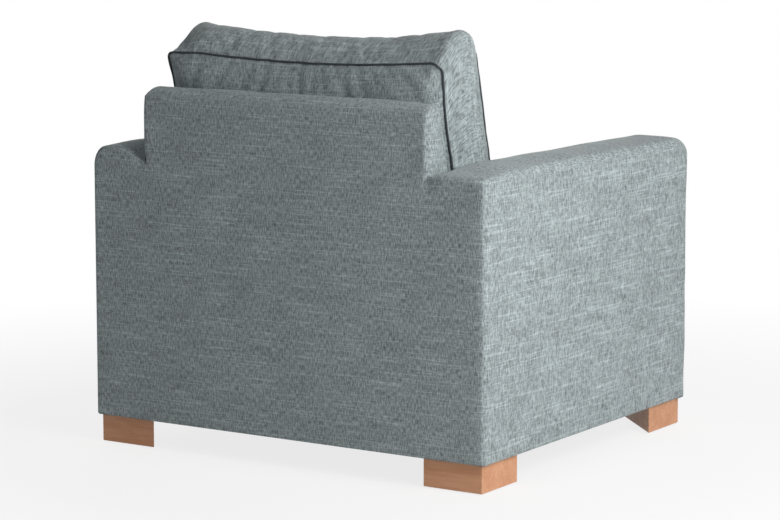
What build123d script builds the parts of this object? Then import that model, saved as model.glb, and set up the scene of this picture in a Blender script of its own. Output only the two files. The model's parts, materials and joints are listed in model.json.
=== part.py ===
from build123d import *
import math
import os

# An upholstered armchair on four beech corner feet, in millimetres.
# The chair faces -Y, +Z is up, and +X is the sitter's left. The origin is on
# the floor, under the middle of the chair.

# ------------------------------------------------------- driving dimensions
WIDTH = 920.0           # over both arms
DEPTH = 813.0           # front of the arms to the back
ARM_HEIGHT = 602.0      # shoulders of the arms, which crown a little higher
BACK_HEIGHT = 732.0     # top of the fixed backrest
FOOT_HEIGHT = 57.0      # floor to the underside of the body
ARM_WIDTH = 127.0
ARM_CROWN = 8.0         # rise of an arm's top above its shoulders
DECK_HEIGHT = 285.0     # cloth platform that the seat cushion lies on
BACK_TOP_DEPTH = 54.0   # thickness of the backrest at its top edge
BACK_LEAN = 15.0        # degrees that the inside of the backrest leans
SEAT_THICKNESS = 149.0
BACK_BOXING = 133.0     # between the back cushion's seams
FOOT_LEG = 133.0        # the feet are corner blocks, triangles in plan
FOOT_INSET = 10.0

# ------------------------------------------------------- materials' gauges
FABRIC = 1.5
DUST_CLOTH = 1.0
HARDBOARD = 3.0
ARM_PLY = 4.0
FRAME_BOARD = 22.0
POST_DEPTH = 30.0
SIDE_FOAM = 8.5         # between an arm's skin and its wooden box
BACK_FOAM = 22.5        # measured along Y, between the skin and the webbing
PIPING = 5.2
WADDING = 8.0
GLIDE = 2.5             # thickness of the felt pads under the feet
GLIDE_SIZE = 36.0
GLIDE_INSET = 12.0
BOLT_RADIUS = 4.0
BOLT_HOLE = 4.6
SHANK_SIDES = 8

# ------------------------------------------------------- derived places
HALF_WIDTH = WIDTH / 2
HALF_DEPTH = DEPTH / 2
SEAT_HALF = HALF_WIDTH - ARM_WIDTH             # inner face of an arm
HEM_BOTTOM = FOOT_HEIGHT + DUST_CLOTH
FRAME_BOTTOM = HEM_BOTTOM + FABRIC
ARM_BOX_INNER = SEAT_HALF + FABRIC + SIDE_FOAM
ARM_BOX_OUTER = HALF_WIDTH - FABRIC - SIDE_FOAM
ARM_BOX_TOP = ARM_HEIGHT - 38                    # thick padding over the arms
FRONT_FRAME = -HALF_DEPTH + 8.5                # front of the arms' posts
REAR_SEAM = HALF_DEPTH - 12.0                  # arm covers meet the back cover
REAR_FRAME = HALF_DEPTH - 10.0                 # rear face of the timber
RAIL_FRONT = -HALF_DEPTH + 20.5
RAIL_TOP = 245.0
RAIL_BOTTOM = 125.0
RAIL_THICK = 28.0
RAIL_REAR = RAIL_FRONT + RAIL_THICK
SIDE_RAIL_REAR = 251.0
REAR_RAIL_FRONT = 268.0
FRONT_RAIL_SETBACK = 6.0                       # front rail's cover behind the arms
REAR_EDGE = 9.0                                # rounding of the outside back's edges
SKIRT_BOTTOM = 262.0                           # inside back cover ends here
UPRIGHT_OUTER = 325.0
UPRIGHT_INNER = UPRIGHT_OUTER - FRAME_BOARD
UPRIGHT_TOP = BACK_HEIGHT - 20
CLEAT_FRONT = 330.0
CLEAT_TOP = 560.0
BOARD_BOTTOM = FRAME_BOTTOM + FRAME_BOARD      # top of an arm's bottom rail
DECK_PAD_BOTTOM = DECK_HEIGHT - FABRIC - 8.5
SPRING_X = [-225.0, -75.0, 75.0, 225.0]
TAN_LEAN = math.tan(math.radians(BACK_LEAN))
COS_LEAN = math.cos(math.radians(BACK_LEAN))
SIN_LEAN = math.sin(math.radians(BACK_LEAN))
FOOT_X = HALF_WIDTH - FOOT_INSET
FOOT_Y = HALF_DEPTH - FOOT_INSET
FOOT_CENTRE = FOOT_LEG / 3                     # from the foot's right-angled corner


# ------------------------------------------------------- helpers
def block(x0, x1, y0, y1, z0, z1):
    """A box given by its limits."""
    middle = Pos((x0 + x1) / 2, (y0 + y1) / 2, (z0 + z1) / 2)
    return middle * Box(x1 - x0, y1 - y0, z1 - z0)


def both_sides(x0, x1, y0, y1, z0, z1):
    """The same box on the left and, mirrored, on the right."""
    left = block(x0, x1, y0, y1, z0, z1)
    return left, mirror(left, about=Plane.YZ)


def along_x(outline, x0, x1):
    """Extrude a (y, z) outline from x0 to x1."""
    return extrude(Plane.YZ.offset(x0) * outline, amount=x1 - x0, dir=(1, 0, 0))


def along_y(outline, y0, y1):
    """Extrude an (x, z) outline from y0 to y1."""
    return extrude(Plane.XZ.offset(-y1) * outline, amount=y1 - y0, dir=(0, -1, 0))


def polygon(*points):
    return Polygon(*points, align=None)


def rod_x(radius, x0, x1, y, z):
    """A fastener's shank or hole along X, eight-sided to stay light."""
    return along_x(Pos(y, z) * RegularPolygon(radius, SHANK_SIDES), x0, x1)


def rod_z(radius, x, y, z0, z1):
    """A fastener's shank or hole along Z, eight-sided to stay light."""
    return extrude(Pos(x, y, z0) * RegularPolygon(radius, SHANK_SIDES), amount=z1 - z0)


def soften(edges, radius):
    """Break sewn edges with a bevel about as large as a rounding of this radius."""
    return chamfer(edges, radius * 0.6)


def back_skin(z):
    """Y of the inside back cover's face at height z."""
    return HALF_DEPTH - BACK_TOP_DEPTH - (BACK_HEIGHT - z) * TAN_LEAN


def group(pieces):
    """Several separate solids kept in one node."""
    solids = []
    for piece in pieces:
        solids.extend(piece.solids())
    return Compound(children=solids)


# ------------------------------------------------------- upholstered forms
def arm_outline(inset=0.0):
    """Cross-section of the left arm (x, z): upright sides and a crowned top."""
    inner = SEAT_HALF + inset
    outer = HALF_WIDTH - inset
    top = ARM_HEIGHT - inset
    bottom = HEM_BOTTOM + inset
    crown = inner + 0.6 * (outer - inner)
    outline = polygon((inner, bottom), (outer, bottom), (outer, top + 1),
                      (crown, top + ARM_CROWN), (inner, top - 3))
    for x, radius in ((inner, 20 - inset), (outer, 24 - inset)):
        upper = outline.vertices().filter_by(lambda v: v.Y > top - 10)
        outline = fillet(upper.sort_by(lambda v: abs(v.X - x))[0], radius)
    return outline


def arm_side_outline(inset, rear):
    """Side view of an arm (y, z), with its front top corner rounded."""
    front = -HALF_DEPTH + inset
    top = ARM_HEIGHT + ARM_CROWN - inset
    outline = polygon((front, 0), (rear, 0), (rear, top), (front, top))
    corner = outline.vertices().sort_by(Axis.Y)[-2:].sort_by(Axis.X)[0]
    return fillet(corner, 42 - inset)


def arm_plan_outline(inset, rear):
    """Plan of an arm (x, y), with its upright front edges rounded."""
    front = -HALF_DEPTH + inset
    inner, outer = SEAT_HALF + inset, HALF_WIDTH - inset
    outline = polygon((inner, front), (outer, front), (outer, rear), (inner, rear))
    return fillet(outline.vertices().group_by(Axis.Y)[0], 11 - inset)


def arm_form(inset, rear):
    """The left arm's padded form, moved inwards by inset."""
    section = along_y(arm_outline(inset), -HALF_DEPTH, rear)
    side = along_x(arm_side_outline(inset, rear), SEAT_HALF, HALF_WIDTH)
    plan = extrude(arm_plan_outline(inset, rear), amount=BACK_HEIGHT)
    return section & side & plan


def back_form(inset, bottom, rear):
    """The backrest's padded form above and between the arms."""
    half = SEAT_HALF - inset
    top = BACK_HEIGHT - inset
    outline = polygon((back_skin(bottom) + inset, bottom), (rear, bottom), (rear, top),
                      (back_skin(top) + inset, top))
    form = along_x(outline, -half, half)
    top_face = form.faces().sort_by(Axis.Z)[-1]
    form = fillet(top_face.edges().filter_by(Axis.Y), 16 - inset)
    front_face = form.faces().sort_by(Axis.Y)[0]
    front_edges = front_face.edges().filter_by(lambda e: e.center().Z > bottom + 1)
    return soften(front_edges, 13)


def rear_outline(inset):
    """Rear view (x, z) of the arms and the backrest as one panel."""
    arm = arm_outline(inset)
    bottom = HEM_BOTTOM + inset
    half = SEAT_HALF - inset
    top = BACK_HEIGHT - inset
    backrest = polygon((-half, bottom), (half, bottom), (half, top), (-half, top))
    backrest = fillet(backrest.vertices().group_by(Axis.Y)[-1], 16 - inset)
    shoulder = SEAT_HALF + inset + 16
    low = polygon((-shoulder, bottom), (shoulder, bottom),
                  (shoulder, ARM_HEIGHT - inset - 8), (-shoulder, ARM_HEIGHT - inset - 8))
    return backrest + low + arm + mirror(arm, about=Plane.YZ)


def rear_form(inset, front):
    """The slab behind the timber, with its rear edges softened."""
    form = along_y(rear_outline(inset), front, HALF_DEPTH - inset)
    rear_edges = form.faces().sort_by(Axis.Y)[-1].edges()
    return soften(rear_edges, REAR_EDGE)


# ------------------------------------------------------- arms
def arm_box():
    """Space that the left arm's wooden box takes up."""
    return block(ARM_BOX_INNER, ARM_BOX_OUTER, FRONT_FRAME, REAR_FRAME,
                 HEM_BOTTOM - 1, ARM_BOX_TOP)


def beside_seat():
    """Space beside the seat frame, where an arm has no padding or cover."""
    return block(SEAT_HALF - 1, ARM_BOX_INNER, RAIL_FRONT, HALF_DEPTH, 0, RAIL_TOP + 5)


def cleat():
    """Block between the left arm's box and the backrest's upright."""
    return block(UPRIGHT_OUTER, ARM_BOX_INNER, CLEAT_FRONT, REAR_FRAME, RAIL_BOTTOM, CLEAT_TOP)


def back_cleats():
    """Both cleats, drilled for the bolts."""
    left = cleat() - bolt_holes(UPRIGHT_OUTER - 1, ARM_BOX_INNER + 1)
    return group([left, mirror(left, about=Plane.YZ)])


def arm_cover():
    """The left arm's sewn cover, open behind and turned under below."""
    skin = arm_form(0, REAR_SEAM) - arm_form(FABRIC, REAR_SEAM)
    mouth = block(ARM_BOX_INNER, ARM_BOX_OUTER - 18, FRONT_FRAME + 18, REAR_SEAM + 1,
                  HEM_BOTTOM - 1, FRAME_BOTTOM + 1)
    inside_post = block(SEAT_HALF + FABRIC, ARM_BOX_INNER + 1, FRONT_FRAME + 18, REAR_SEAM + 1,
                        HEM_BOTTOM - 1, FRAME_BOTTOM + 1)
    return skin - mouth - inside_post - beside_seat() - cleat()


def arm_padding():
    form = arm_form(FABRIC, REAR_FRAME)
    return form - arm_box() - beside_seat() - cleat()


def arm_timber():
    """The left arm's wooden box, piece by piece."""
    inner = ARM_BOX_INNER + ARM_PLY
    outer = ARM_BOX_OUTER - HARDBOARD
    pieces = {
        "arm_outer_panel": block(outer, ARM_BOX_OUTER, FRONT_FRAME, REAR_FRAME,
                                 FRAME_BOTTOM, ARM_BOX_TOP),
        "arm_inner_panel": block(ARM_BOX_INNER, inner, FRONT_FRAME, REAR_FRAME,
                                 FRAME_BOTTOM, ARM_BOX_TOP),
        "arm_front_post": block(inner, outer, FRONT_FRAME, FRONT_FRAME + POST_DEPTH,
                                BOARD_BOTTOM, ARM_BOX_TOP - 20),
        "arm_rear_post": block(inner, outer, REAR_FRAME - POST_DEPTH, REAR_FRAME,
                               BOARD_BOTTOM, ARM_BOX_TOP - 20),
        "arm_top_rail": block(inner, outer, FRONT_FRAME, REAR_FRAME,
                              ARM_BOX_TOP - 20, ARM_BOX_TOP),
        "arm_bottom_rail": block(inner, outer, FRONT_FRAME, REAR_FRAME,
                                 FRAME_BOTTOM, BOARD_BOTTOM),
    }
    for y in (-1, 1):
        hole = rod_z(TEE_BARREL + 0.2, FOOT_X - FOOT_CENTRE, y * (FOOT_Y - FOOT_CENTRE),
                     FRAME_BOTTOM - 1, BOARD_BOTTOM + 1)
        pieces["arm_bottom_rail"] -= hole
    for x0, x1, y, z in bolt_places():
        hole = rod_x(BOLT_HOLE, ARM_BOX_INNER - 1, inner + 1, y, z)
        pieces["arm_inner_panel"] -= hole
    return pieces


# ------------------------------------------------------- bolts that join the arms
HEAD_SIZE = 7.5         # radius over the corners of a bolt head or nut
HEAD_THICK = 5.0
TEE_BARREL = 5.0


def bolt_places():
    """(inner end, head seat, y, z) of each bolt on the left side."""
    seat = ARM_BOX_INNER + ARM_PLY
    rail_inner = ARM_BOX_INNER - 25
    return [
        (rail_inner, seat, -270.0, 185.0),
        (rail_inner, seat, 150.0, 185.0),
        (UPRIGHT_INNER, seat, 345.0, 200.0),
        (UPRIGHT_INNER, seat, 345.0, 500.0),
    ]


def hex_x(x0, x1, y, z):
    """A hexagon head or nut along X."""
    outline = Pos(y, z) * RegularPolygon(HEAD_SIZE, 6)
    return along_x(outline, x0, x1)


def arm_bolts():
    bolts = []
    for x0, x1, y, z in bolt_places():
        bolt = rod_x(BOLT_RADIUS, x0 - 9, x1, y, z)
        bolt += hex_x(x1, x1 + HEAD_THICK, y, z)
        bolt += hex_x(x0 - 6, x0, y, z)
        bolts += [bolt, mirror(bolt, about=Plane.YZ)]
    return group(bolts)


def bolt_holes(x0, x1):
    """Clearance holes for the left side's bolts between x0 and x1."""
    return [rod_x(BOLT_HOLE, x0, x1, y, z) for _, _, y, z in bolt_places()]


# ------------------------------------------------------- backrest
def inside_back_cover():
    skin = back_form(0, SKIRT_BOTTOM, REAR_SEAM)
    skin -= back_form(FABRIC, SKIRT_BOTTOM - 5, REAR_SEAM + 5)
    return skin - cleat() - mirror(cleat(), about=Plane.YZ)


def back_core():
    """Space behind the inside back padding: uprights, rails and webbing."""
    plane = BACK_FOAM
    outline = polygon((back_skin(SKIRT_BOTTOM - 10) + plane, SKIRT_BOTTOM - 10),
                      (REAR_FRAME + 1, SKIRT_BOTTOM - 10), (REAR_FRAME + 1, UPRIGHT_TOP),
                      (back_skin(UPRIGHT_TOP) + plane, UPRIGHT_TOP))
    return along_x(outline, -UPRIGHT_OUTER, UPRIGHT_OUTER)


def inside_back_padding():
    form = back_form(FABRIC, SKIRT_BOTTOM, REAR_FRAME)
    return form - back_core() - cleat() - mirror(cleat(), about=Plane.YZ)


def outside_back_cover():
    skin = rear_form(0, REAR_SEAM) - rear_form(FABRIC, REAR_SEAM - 1)
    shoulder = HALF_WIDTH - 20
    return skin - block(-shoulder, shoulder, REAR_SEAM - 1, REAR_FRAME,
                        HEM_BOTTOM - 1, FRAME_BOTTOM)


def outside_back_panel():
    """T-shaped hardboard behind the arms and the backrest."""
    wide = ARM_BOX_OUTER
    outline = polygon((-wide, FRAME_BOTTOM), (wide, FRAME_BOTTOM), (wide, ARM_BOX_TOP - 8),
                      (UPRIGHT_OUTER, ARM_BOX_TOP - 8), (UPRIGHT_OUTER, UPRIGHT_TOP),
                      (-UPRIGHT_OUTER, UPRIGHT_TOP), (-UPRIGHT_OUTER, ARM_BOX_TOP - 8),
                      (-wide, ARM_BOX_TOP - 8))
    return along_y(outline, REAR_FRAME, REAR_FRAME + HARDBOARD)


def outside_back_wadding():
    return rear_form(FABRIC, REAR_FRAME) - outside_back_panel()


def upright_front(z):
    """Y of the uprights' leaning front edge at height z."""
    return back_skin(z) + BACK_FOAM + 2.5


def back_upright():
    """The left upright: a board cut to the backrest's wedge, with a rear leg."""
    outline = polygon((REAR_FRAME, FRAME_BOTTOM), (REAR_FRAME, UPRIGHT_TOP),
                      (upright_front(UPRIGHT_TOP), UPRIGHT_TOP),
                      (upright_front(SKIRT_BOTTOM), SKIRT_BOTTOM),
                      (upright_front(SKIRT_BOTTOM), RAIL_BOTTOM),
                      (REAR_FRAME - 70, RAIL_BOTTOM), (REAR_FRAME - 70, FRAME_BOTTOM))
    inner_corner = outline.vertices().filter_by(
        lambda v: abs(v.X - REAR_FRAME + 70) < 1 and abs(v.Y - RAIL_BOTTOM) < 1)
    board = along_x(fillet(inner_corner, 25), UPRIGHT_INNER, UPRIGHT_OUTER)
    return board - bolt_holes(UPRIGHT_INNER - 1, UPRIGHT_OUTER + 1)


def back_rail(z0, z1):
    return block(-UPRIGHT_INNER, UPRIGHT_INNER, REAR_FRAME - FRAME_BOARD, REAR_FRAME, z0, z1)


def back_webbing():
    """Five elastic bands stapled across the uprights' leaning edges."""
    bands = []
    for i in range(5):
        low = 310.0 + 82 * i
        high = low + 55
        outline = polygon((upright_front(low) - 2, low), (upright_front(low), low),
                          (upright_front(high), high), (upright_front(high) - 2, high))
        bands.append(along_x(outline, -UPRIGHT_OUTER + 3, UPRIGHT_OUTER - 3))
    return group(bands)


# ------------------------------------------------------- seat frame
def front_rail_outline(inset):
    """Side view (y, z) of the upholstered front rail, with a rounded top edge."""
    front = -HALF_DEPTH + FRONT_RAIL_SETBACK + inset
    top = DECK_HEIGHT - inset
    outline = polygon((front, HEM_BOTTOM + inset), (RAIL_REAR, HEM_BOTTOM + inset),
                      (RAIL_REAR, top), (front, top))
    corner = outline.vertices().group_by(Axis.Y)[-1].sort_by(Axis.X)[0]
    return fillet(corner, 14 - inset)


def front_rail_cover():
    skin = along_x(front_rail_outline(0), -SEAT_HALF, SEAT_HALF)
    skin -= along_x(front_rail_outline(FABRIC), -SEAT_HALF - 1, SEAT_HALF + 1)
    return skin - block(-SEAT_HALF - 1, SEAT_HALF + 1, RAIL_FRONT + 12, RAIL_REAR + 1,
                        0, DECK_PAD_BOTTOM)


def front_rail_padding():
    form = along_x(front_rail_outline(FABRIC), -SEAT_HALF, SEAT_HALF)
    under = block(-SEAT_HALF - 1, SEAT_HALF + 1, RAIL_FRONT, RAIL_REAR + 1, 0, RAIL_TOP + 6)
    return form - under


def seat_front_rail():
    return block(-ARM_BOX_INNER, ARM_BOX_INNER, RAIL_FRONT, RAIL_REAR, FRAME_BOTTOM, RAIL_TOP)


def seat_rear_rail():
    return block(-UPRIGHT_INNER, UPRIGHT_INNER, REAR_RAIL_FRONT, REAR_RAIL_FRONT + RAIL_THICK,
                 RAIL_BOTTOM, RAIL_TOP)


def seat_side_rail():
    rail = block(ARM_BOX_INNER - 25, ARM_BOX_INNER, RAIL_REAR, SIDE_RAIL_REAR,
                 RAIL_BOTTOM, RAIL_TOP)
    return rail - bolt_holes(ARM_BOX_INNER - 26, ARM_BOX_INNER + 1)


def corner_blocks():
    """Glued triangular blocks in the corners of the seat frame."""
    leg = 55.0
    blocks = []
    for side in (-1, 1):
        x = side * (ARM_BOX_INNER - 25)
        front = polygon((x, RAIL_REAR), (x - side * leg, RAIL_REAR), (x, RAIL_REAR + leg))
        x = side * UPRIGHT_INNER
        rear = polygon((x, REAR_RAIL_FRONT), (x - side * leg, REAR_RAIL_FRONT),
                       (x, REAR_RAIL_FRONT - leg / 4))
        for outline in (front, rear):
            blocks.append(extrude(Pos(0, 0, 155) * outline, amount=65, dir=(0, 0, 1)))
    return group(blocks)


def seat_deck_pad():
    return block(-SEAT_HALF, SEAT_HALF, RAIL_REAR, 228, DECK_PAD_BOTTOM, DECK_HEIGHT - FABRIC)


def seat_deck_cloth():
    return block(-SEAT_HALF, SEAT_HALF, RAIL_REAR, 231, DECK_HEIGHT - FABRIC, DECK_HEIGHT)


def deck_edge_foam():
    """U-shaped foam roll that carries the deck pad round the springs."""
    side, other = both_sides(ARM_BOX_INNER - 25, SEAT_HALF, RAIL_REAR, 226,
                             RAIL_TOP, DECK_PAD_BOTTOM)
    rear = block(-SEAT_HALF, SEAT_HALF, 196, 226, SKIRT_BOTTOM, DECK_PAD_BOTTOM)
    return side + other + rear


# ------------------------------------------------------- springs
SPRING_WIRE = 1.9       # radius
SPRING_HALF = 33.0      # half the width of a spring over its loops
SPRING_LOOPS = 12
SPRING_CROWN = 24.0     # rise at mid-length
SPRING_BEND = 3         # chords in each half-round bend
SPRING_FRONT = (RAIL_FRONT + RAIL_REAR) / 2
SPRING_REAR = REAR_RAIL_FRONT + RAIL_THICK / 2
SPRING_END_Z = RAIL_TOP + SPRING_WIRE + 0.2


def spring_bar(i):
    """(y, z) of the i-th straight bar across a spring."""
    t = i / SPRING_LOOPS
    y = SPRING_FRONT + (SPRING_REAR - SPRING_FRONT) * t
    return y, SPRING_END_Z + SPRING_CROWN * 4 * t * (1 - t)


def sinuous_spring(x):
    """One crowned zigzag spring from the front rail to the rear rail."""
    pitch = (SPRING_REAR - SPRING_FRONT) / SPRING_LOOPS
    reach = SPRING_HALF - SPRING_WIRE - pitch / 2
    points = [(x - reach, *spring_bar(0))]
    for i in range(SPRING_LOOPS):
        side = 1 if i % 2 == 0 else -1
        y, z = spring_bar(i)
        next_y, next_z = spring_bar(i + 1)
        for step in range(SPRING_BEND + 1):
            turn = math.pi * step / SPRING_BEND
            along = (1 - math.cos(turn)) / 2
            points.append((x + side * (reach + math.sin(turn) * pitch / 2),
                           y + (next_y - y) * along, z + (next_z - z) * along))
    points.append((x - reach if SPRING_LOOPS % 2 else x + reach, *spring_bar(SPRING_LOOPS)))
    path = Polyline(*points)
    section = Plane(origin=path @ 0, z_dir=path % 0) * RegularPolygon(SPRING_WIRE, 6)
    return sweep(section, path=path, transition=Transition.RIGHT)


def seat_springs():
    return group([sinuous_spring(x) for x in SPRING_X])


def spring_clips():
    """Bent steel clips that hold the springs' end bars on the rails."""
    thick = 1.2
    top = SPRING_END_Z + SPRING_WIRE + 0.3
    clips = []
    for x in SPRING_X:
        for y, away in ((SPRING_FRONT, -1), (SPRING_REAR, 1)):
            step = y + away * 3.5
            outline = polygon((y + away * 12, RAIL_TOP), (step, RAIL_TOP), (step, top),
                              (y - away * 4, top), (y - away * 4, top + thick),
                              (step + away * thick, top + thick),
                              (step + away * thick, RAIL_TOP + thick),
                              (y + away * 12, RAIL_TOP + thick))
            clips.append(along_x(outline, x - 7, x + 7))
    return group(clips)


# ------------------------------------------------------- underside and feet
def dust_cover():
    sheet = block(-ARM_BOX_OUTER, ARM_BOX_OUTER, FRONT_FRAME, REAR_FRAME,
                  FOOT_HEIGHT, HEM_BOTTOM)
    for x in (-1, 1):
        for y in (-1, 1):
            sheet -= rod_z(BOLT_HOLE, x * (FOOT_X - FOOT_CENTRE), y * (FOOT_Y - FOOT_CENTRE),
                           FOOT_HEIGHT - 1, HEM_BOTTOM + 1)
    return sheet


def foot():
    """The left rear foot: a corner block with a sloping inner face."""
    outline = polygon((FOOT_X, FOOT_Y), (FOOT_X - FOOT_LEG, FOOT_Y), (FOOT_X, FOOT_Y - FOOT_LEG))
    outline = fillet(outline.vertices(), 2)
    body = extrude(Pos(0, 0, GLIDE) * outline, amount=FOOT_HEIGHT - GLIDE)
    return body - rod_z(BOLT_HOLE, FOOT_X - FOOT_CENTRE, FOOT_Y - FOOT_CENTRE,
                        FOOT_HEIGHT - 35, FOOT_HEIGHT + 1)


def four_corners(piece):
    """A left rear piece repeated at the four corners of the chair."""
    left = [piece, mirror(piece, about=Plane.XZ)]
    return left + [mirror(item, about=Plane.YZ) for item in left]


def foot_glides():
    """Square felt pads under the feet."""
    x, y = FOOT_X - GLIDE_INSET, FOOT_Y - GLIDE_INSET
    pad = block(x - GLIDE_SIZE, x, y - GLIDE_SIZE, y, 0, GLIDE)
    return group(four_corners(pad))


def foot_bolts():
    bolt = rod_z(BOLT_RADIUS, FOOT_X - FOOT_CENTRE, FOOT_Y - FOOT_CENTRE,
                 FOOT_HEIGHT - 34, BOARD_BOTTOM + 12)
    return group(four_corners(bolt))


def foot_tee_nuts():
    """Flanged nuts in the arms' bottom rails, one over each foot."""
    x, y = FOOT_X - FOOT_CENTRE, FOOT_Y - FOOT_CENTRE
    nut = rod_z(TEE_BARREL, x, y, BOARD_BOTTOM - 10, BOARD_BOTTOM)
    nut += rod_z(11, x, y, BOARD_BOTTOM, BOARD_BOTTOM + 1.6)
    nut -= rod_z(BOLT_HOLE, x, y, BOARD_BOTTOM - 11, BOARD_BOTTOM + 3)
    return group(four_corners(nut))


# ------------------------------------------------------- loose cushions
SEAM = PIPING / 2                  # panels stop this far from a piped edge
CORD_OUT = 1.2                     # a cord's centre stands this far outside its seam
CROWN_STEPS = (0.2, 0.55, 1.0)     # shares of a crown's reach where its slope changes
SWELL_STEPS = (0, 0.28, 0.72, 1)   # shares of a boxing's width
CORNER_CHORDS = 3                  # flats round a cushion's corner
DIP_STEPS = (0.5, 0, -0.5)         # places along an edge where its hollow bends

SEAT_SEAM = SEAT_HALF - 11         # half width at the seat cushion's seams
SEAT_FULL = SEAT_HALF - 5          # and at mid-height, where its boxing is fullest
SEAT_FRONT_SEAM = -HALF_DEPTH + 9.5
SEAT_FRONT_FULL = -HALF_DEPTH + 0.5
SEAT_REAR = 228.0
SEAT_BOTTOM = DECK_HEIGHT + 0.5 + SEAM
SEAT_TOP = DECK_HEIGHT + SEAT_THICKNESS
SEAT_CROWN = 15.0                  # rise of the upper panel above its seam
SEAT_CROWN_REACH = 130.0           # from the seam to the top of the crown
SEAT_REST = SEAT_TOP + 1.7         # height where the back cushion presses it flat
SEAT_REST_FRONT = 84.0
SEAT_REST_SLOPE = 120.0
SEAT_CORNER = 34.0

BACK_SEAM = SEAT_HALF - 14         # half width at the back cushion's seams
BACK_FULL = SEAT_HALF - 5
BACK_GAP = SEAM + 0.8              # inside back cover to the cushion's rear panel
BACK_BOTTOM = SEAT_TOP + PIPING + 0.8
BACK_REAR_SEAM = 30.0              # seams, forward of the flat of the rear panel
BACK_FRONT_SEAM = BACK_REAR_SEAM + BACK_BOXING
BACK_SHOULDER = 368.0              # height of the panels' upper corners, along the lean
BACK_RISE = 24.0                   # swell of the upper boxing above the seams
BACK_DIP = 0.05                    # hollow of the upper edge, as a share of its half
BACK_CROWN = 23.0
BACK_CROWN_REACH = 110.0
BACK_REAR_REACH = 75.0
BACK_CORNER = 34.0
BACK_LOW_CORNER = 24.0
BACK_REAR_PLANE = Plane(origin=(0, back_skin(BACK_BOTTOM) - BACK_GAP / COS_LEAN, BACK_BOTTOM),
                        x_dir=(1, 0, 0), z_dir=(0, -COS_LEAN, SIN_LEAN))


def cushion_outline(half, low, high, dip, low_corner, high_corner):
    """Corners (across, along) of a cushion's outline, with its upper edge hollowed by dip."""
    corners = [(1, low + low_corner, low_corner, -90), (1, high - high_corner, high_corner, 0),
               (-1, high - high_corner, high_corner, 90), (-1, low + low_corner, low_corner, 180)]
    points = []
    for side, middle, radius, start in corners:
        for i in range(CORNER_CHORDS + 1):
            angle = math.radians(start + 90 * i / CORNER_CHORDS)
            points.append((side * (half - radius) + radius * math.cos(angle),
                           middle + radius * math.sin(angle)))
        if dip and start == 0:
            run = half - radius
            points += [(share * run, high - dip * run * (1 - share ** 2)) for share in DIP_STEPS]
    return points


def flat_face(points):
    return Face(Wire.make_polygon(points))


def stack(sections):
    """A flat-sided solid through loops of points that correspond one to one."""
    faces = [flat_face(sections[0]), flat_face(sections[-1])]
    for lower, upper in zip(sections, sections[1:]):
        for i in range(len(lower)):
            faces.append(flat_face([lower[i - 1], lower[i], upper[i], upper[i - 1]]))
    return Solid(Shell(faces))


def crown(height, reach):
    """(distance in from the seam, rise above it) of a crowned panel's steps."""
    return [(reach * share, height * (1 - (1 - share) ** 2)) for share in CROWN_STEPS]


def boxing_steps(low, high):
    """(position, swell) across a boxing that is fullest, with a swell of 1, at the middle."""
    fullest = SWELL_STEPS[1] * (1 - SWELL_STEPS[1])
    return [(low + share * (high - low), share * (1 - share) / fullest)
            for share in SWELL_STEPS]


def seat_section(height, drawn_in, swell, inset):
    """Corners of the seat cushion's plan at a height."""
    narrower = drawn_in + inset
    half = SEAT_SEAM + swell * (SEAT_FULL - SEAT_SEAM) - narrower
    front = SEAT_FRONT_SEAM + swell * (SEAT_FRONT_FULL - SEAT_FRONT_SEAM) + narrower
    radius = SEAT_CORNER - inset
    outline = cushion_outline(half, front, SEAT_REAR - narrower, 0, radius, radius)
    return [Vector(x, y, height) for x, y in outline]


def seat_seam(end, inset):
    return flat_face(seat_section((SEAT_BOTTOM, SEAT_TOP)[end], 0, 0, inset))


def seat_form(inset):
    """The filled seat cushion, moved inwards by inset."""
    sections = [seat_section(height, 0, swell, inset)
                for height, swell in boxing_steps(SEAT_BOTTOM + inset, SEAT_TOP)]
    sections += [seat_section(SEAT_TOP + rise, drawn_in, 0, inset)
                 for drawn_in, rise in crown(SEAT_CROWN - inset, SEAT_CROWN_REACH)]
    rest, front = SEAT_REST - inset, SEAT_REST_FRONT - inset
    above = SEAT_TOP + 2 * SEAT_CROWN
    pressed = polygon((front, rest), (SEAT_REAR + 1, rest), (SEAT_REAR + 1, above),
                      (front - 2 * SEAT_REST_SLOPE, above),
                      (front - SEAT_REST_SLOPE, rest + SEAT_CROWN))
    return stack(sections) - along_x(pressed, -SEAT_HALF, SEAT_HALF)


def back_section(depth, drawn_in, swell, inset):
    """Corners of the back cushion at a depth forward of its rear panel's flat."""
    narrower = drawn_in + inset
    half = BACK_SEAM + swell * (BACK_FULL - BACK_SEAM) - narrower
    low = drawn_in + inset / COS_LEAN - depth * TAN_LEAN
    high = BACK_SHOULDER + swell * BACK_RISE - narrower
    outline = cushion_outline(half, low, high, BACK_DIP, BACK_LOW_CORNER - inset,
                              BACK_CORNER - inset)
    plane = BACK_REAR_PLANE.offset(depth)
    return [plane.from_local_coords(Vector(x, y, 0)) for x, y in outline]


def back_seam(end, inset):
    return flat_face(back_section((BACK_REAR_SEAM, BACK_FRONT_SEAM)[end], 0, 0, inset))


def back_form_loose(inset):
    """The filled back cushion, moved inwards by inset."""
    rear_crown = crown(BACK_REAR_SEAM - inset, BACK_REAR_REACH)
    sections = [back_section(BACK_REAR_SEAM - rise, drawn_in, 0, inset)
                for drawn_in, rise in reversed(rear_crown)]
    sections += [back_section(depth, 0, swell, inset)
                 for depth, swell in boxing_steps(BACK_REAR_SEAM, BACK_FRONT_SEAM)]
    sections += [back_section(BACK_FRONT_SEAM + rise, drawn_in, 0, inset)
                 for drawn_in, rise in crown(BACK_CROWN - inset, BACK_CROWN_REACH)]
    return stack(sections)


def piping_loop(face):
    """Piping cord round the edge of one of a cushion's panels."""
    path = face.outer_wire()
    section = Plane(origin=path @ 0, z_dir=path % 0) * RegularPolygon(PIPING / 2, 6)
    return sweep(section, path=path, transition=Transition.RIGHT)


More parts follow.
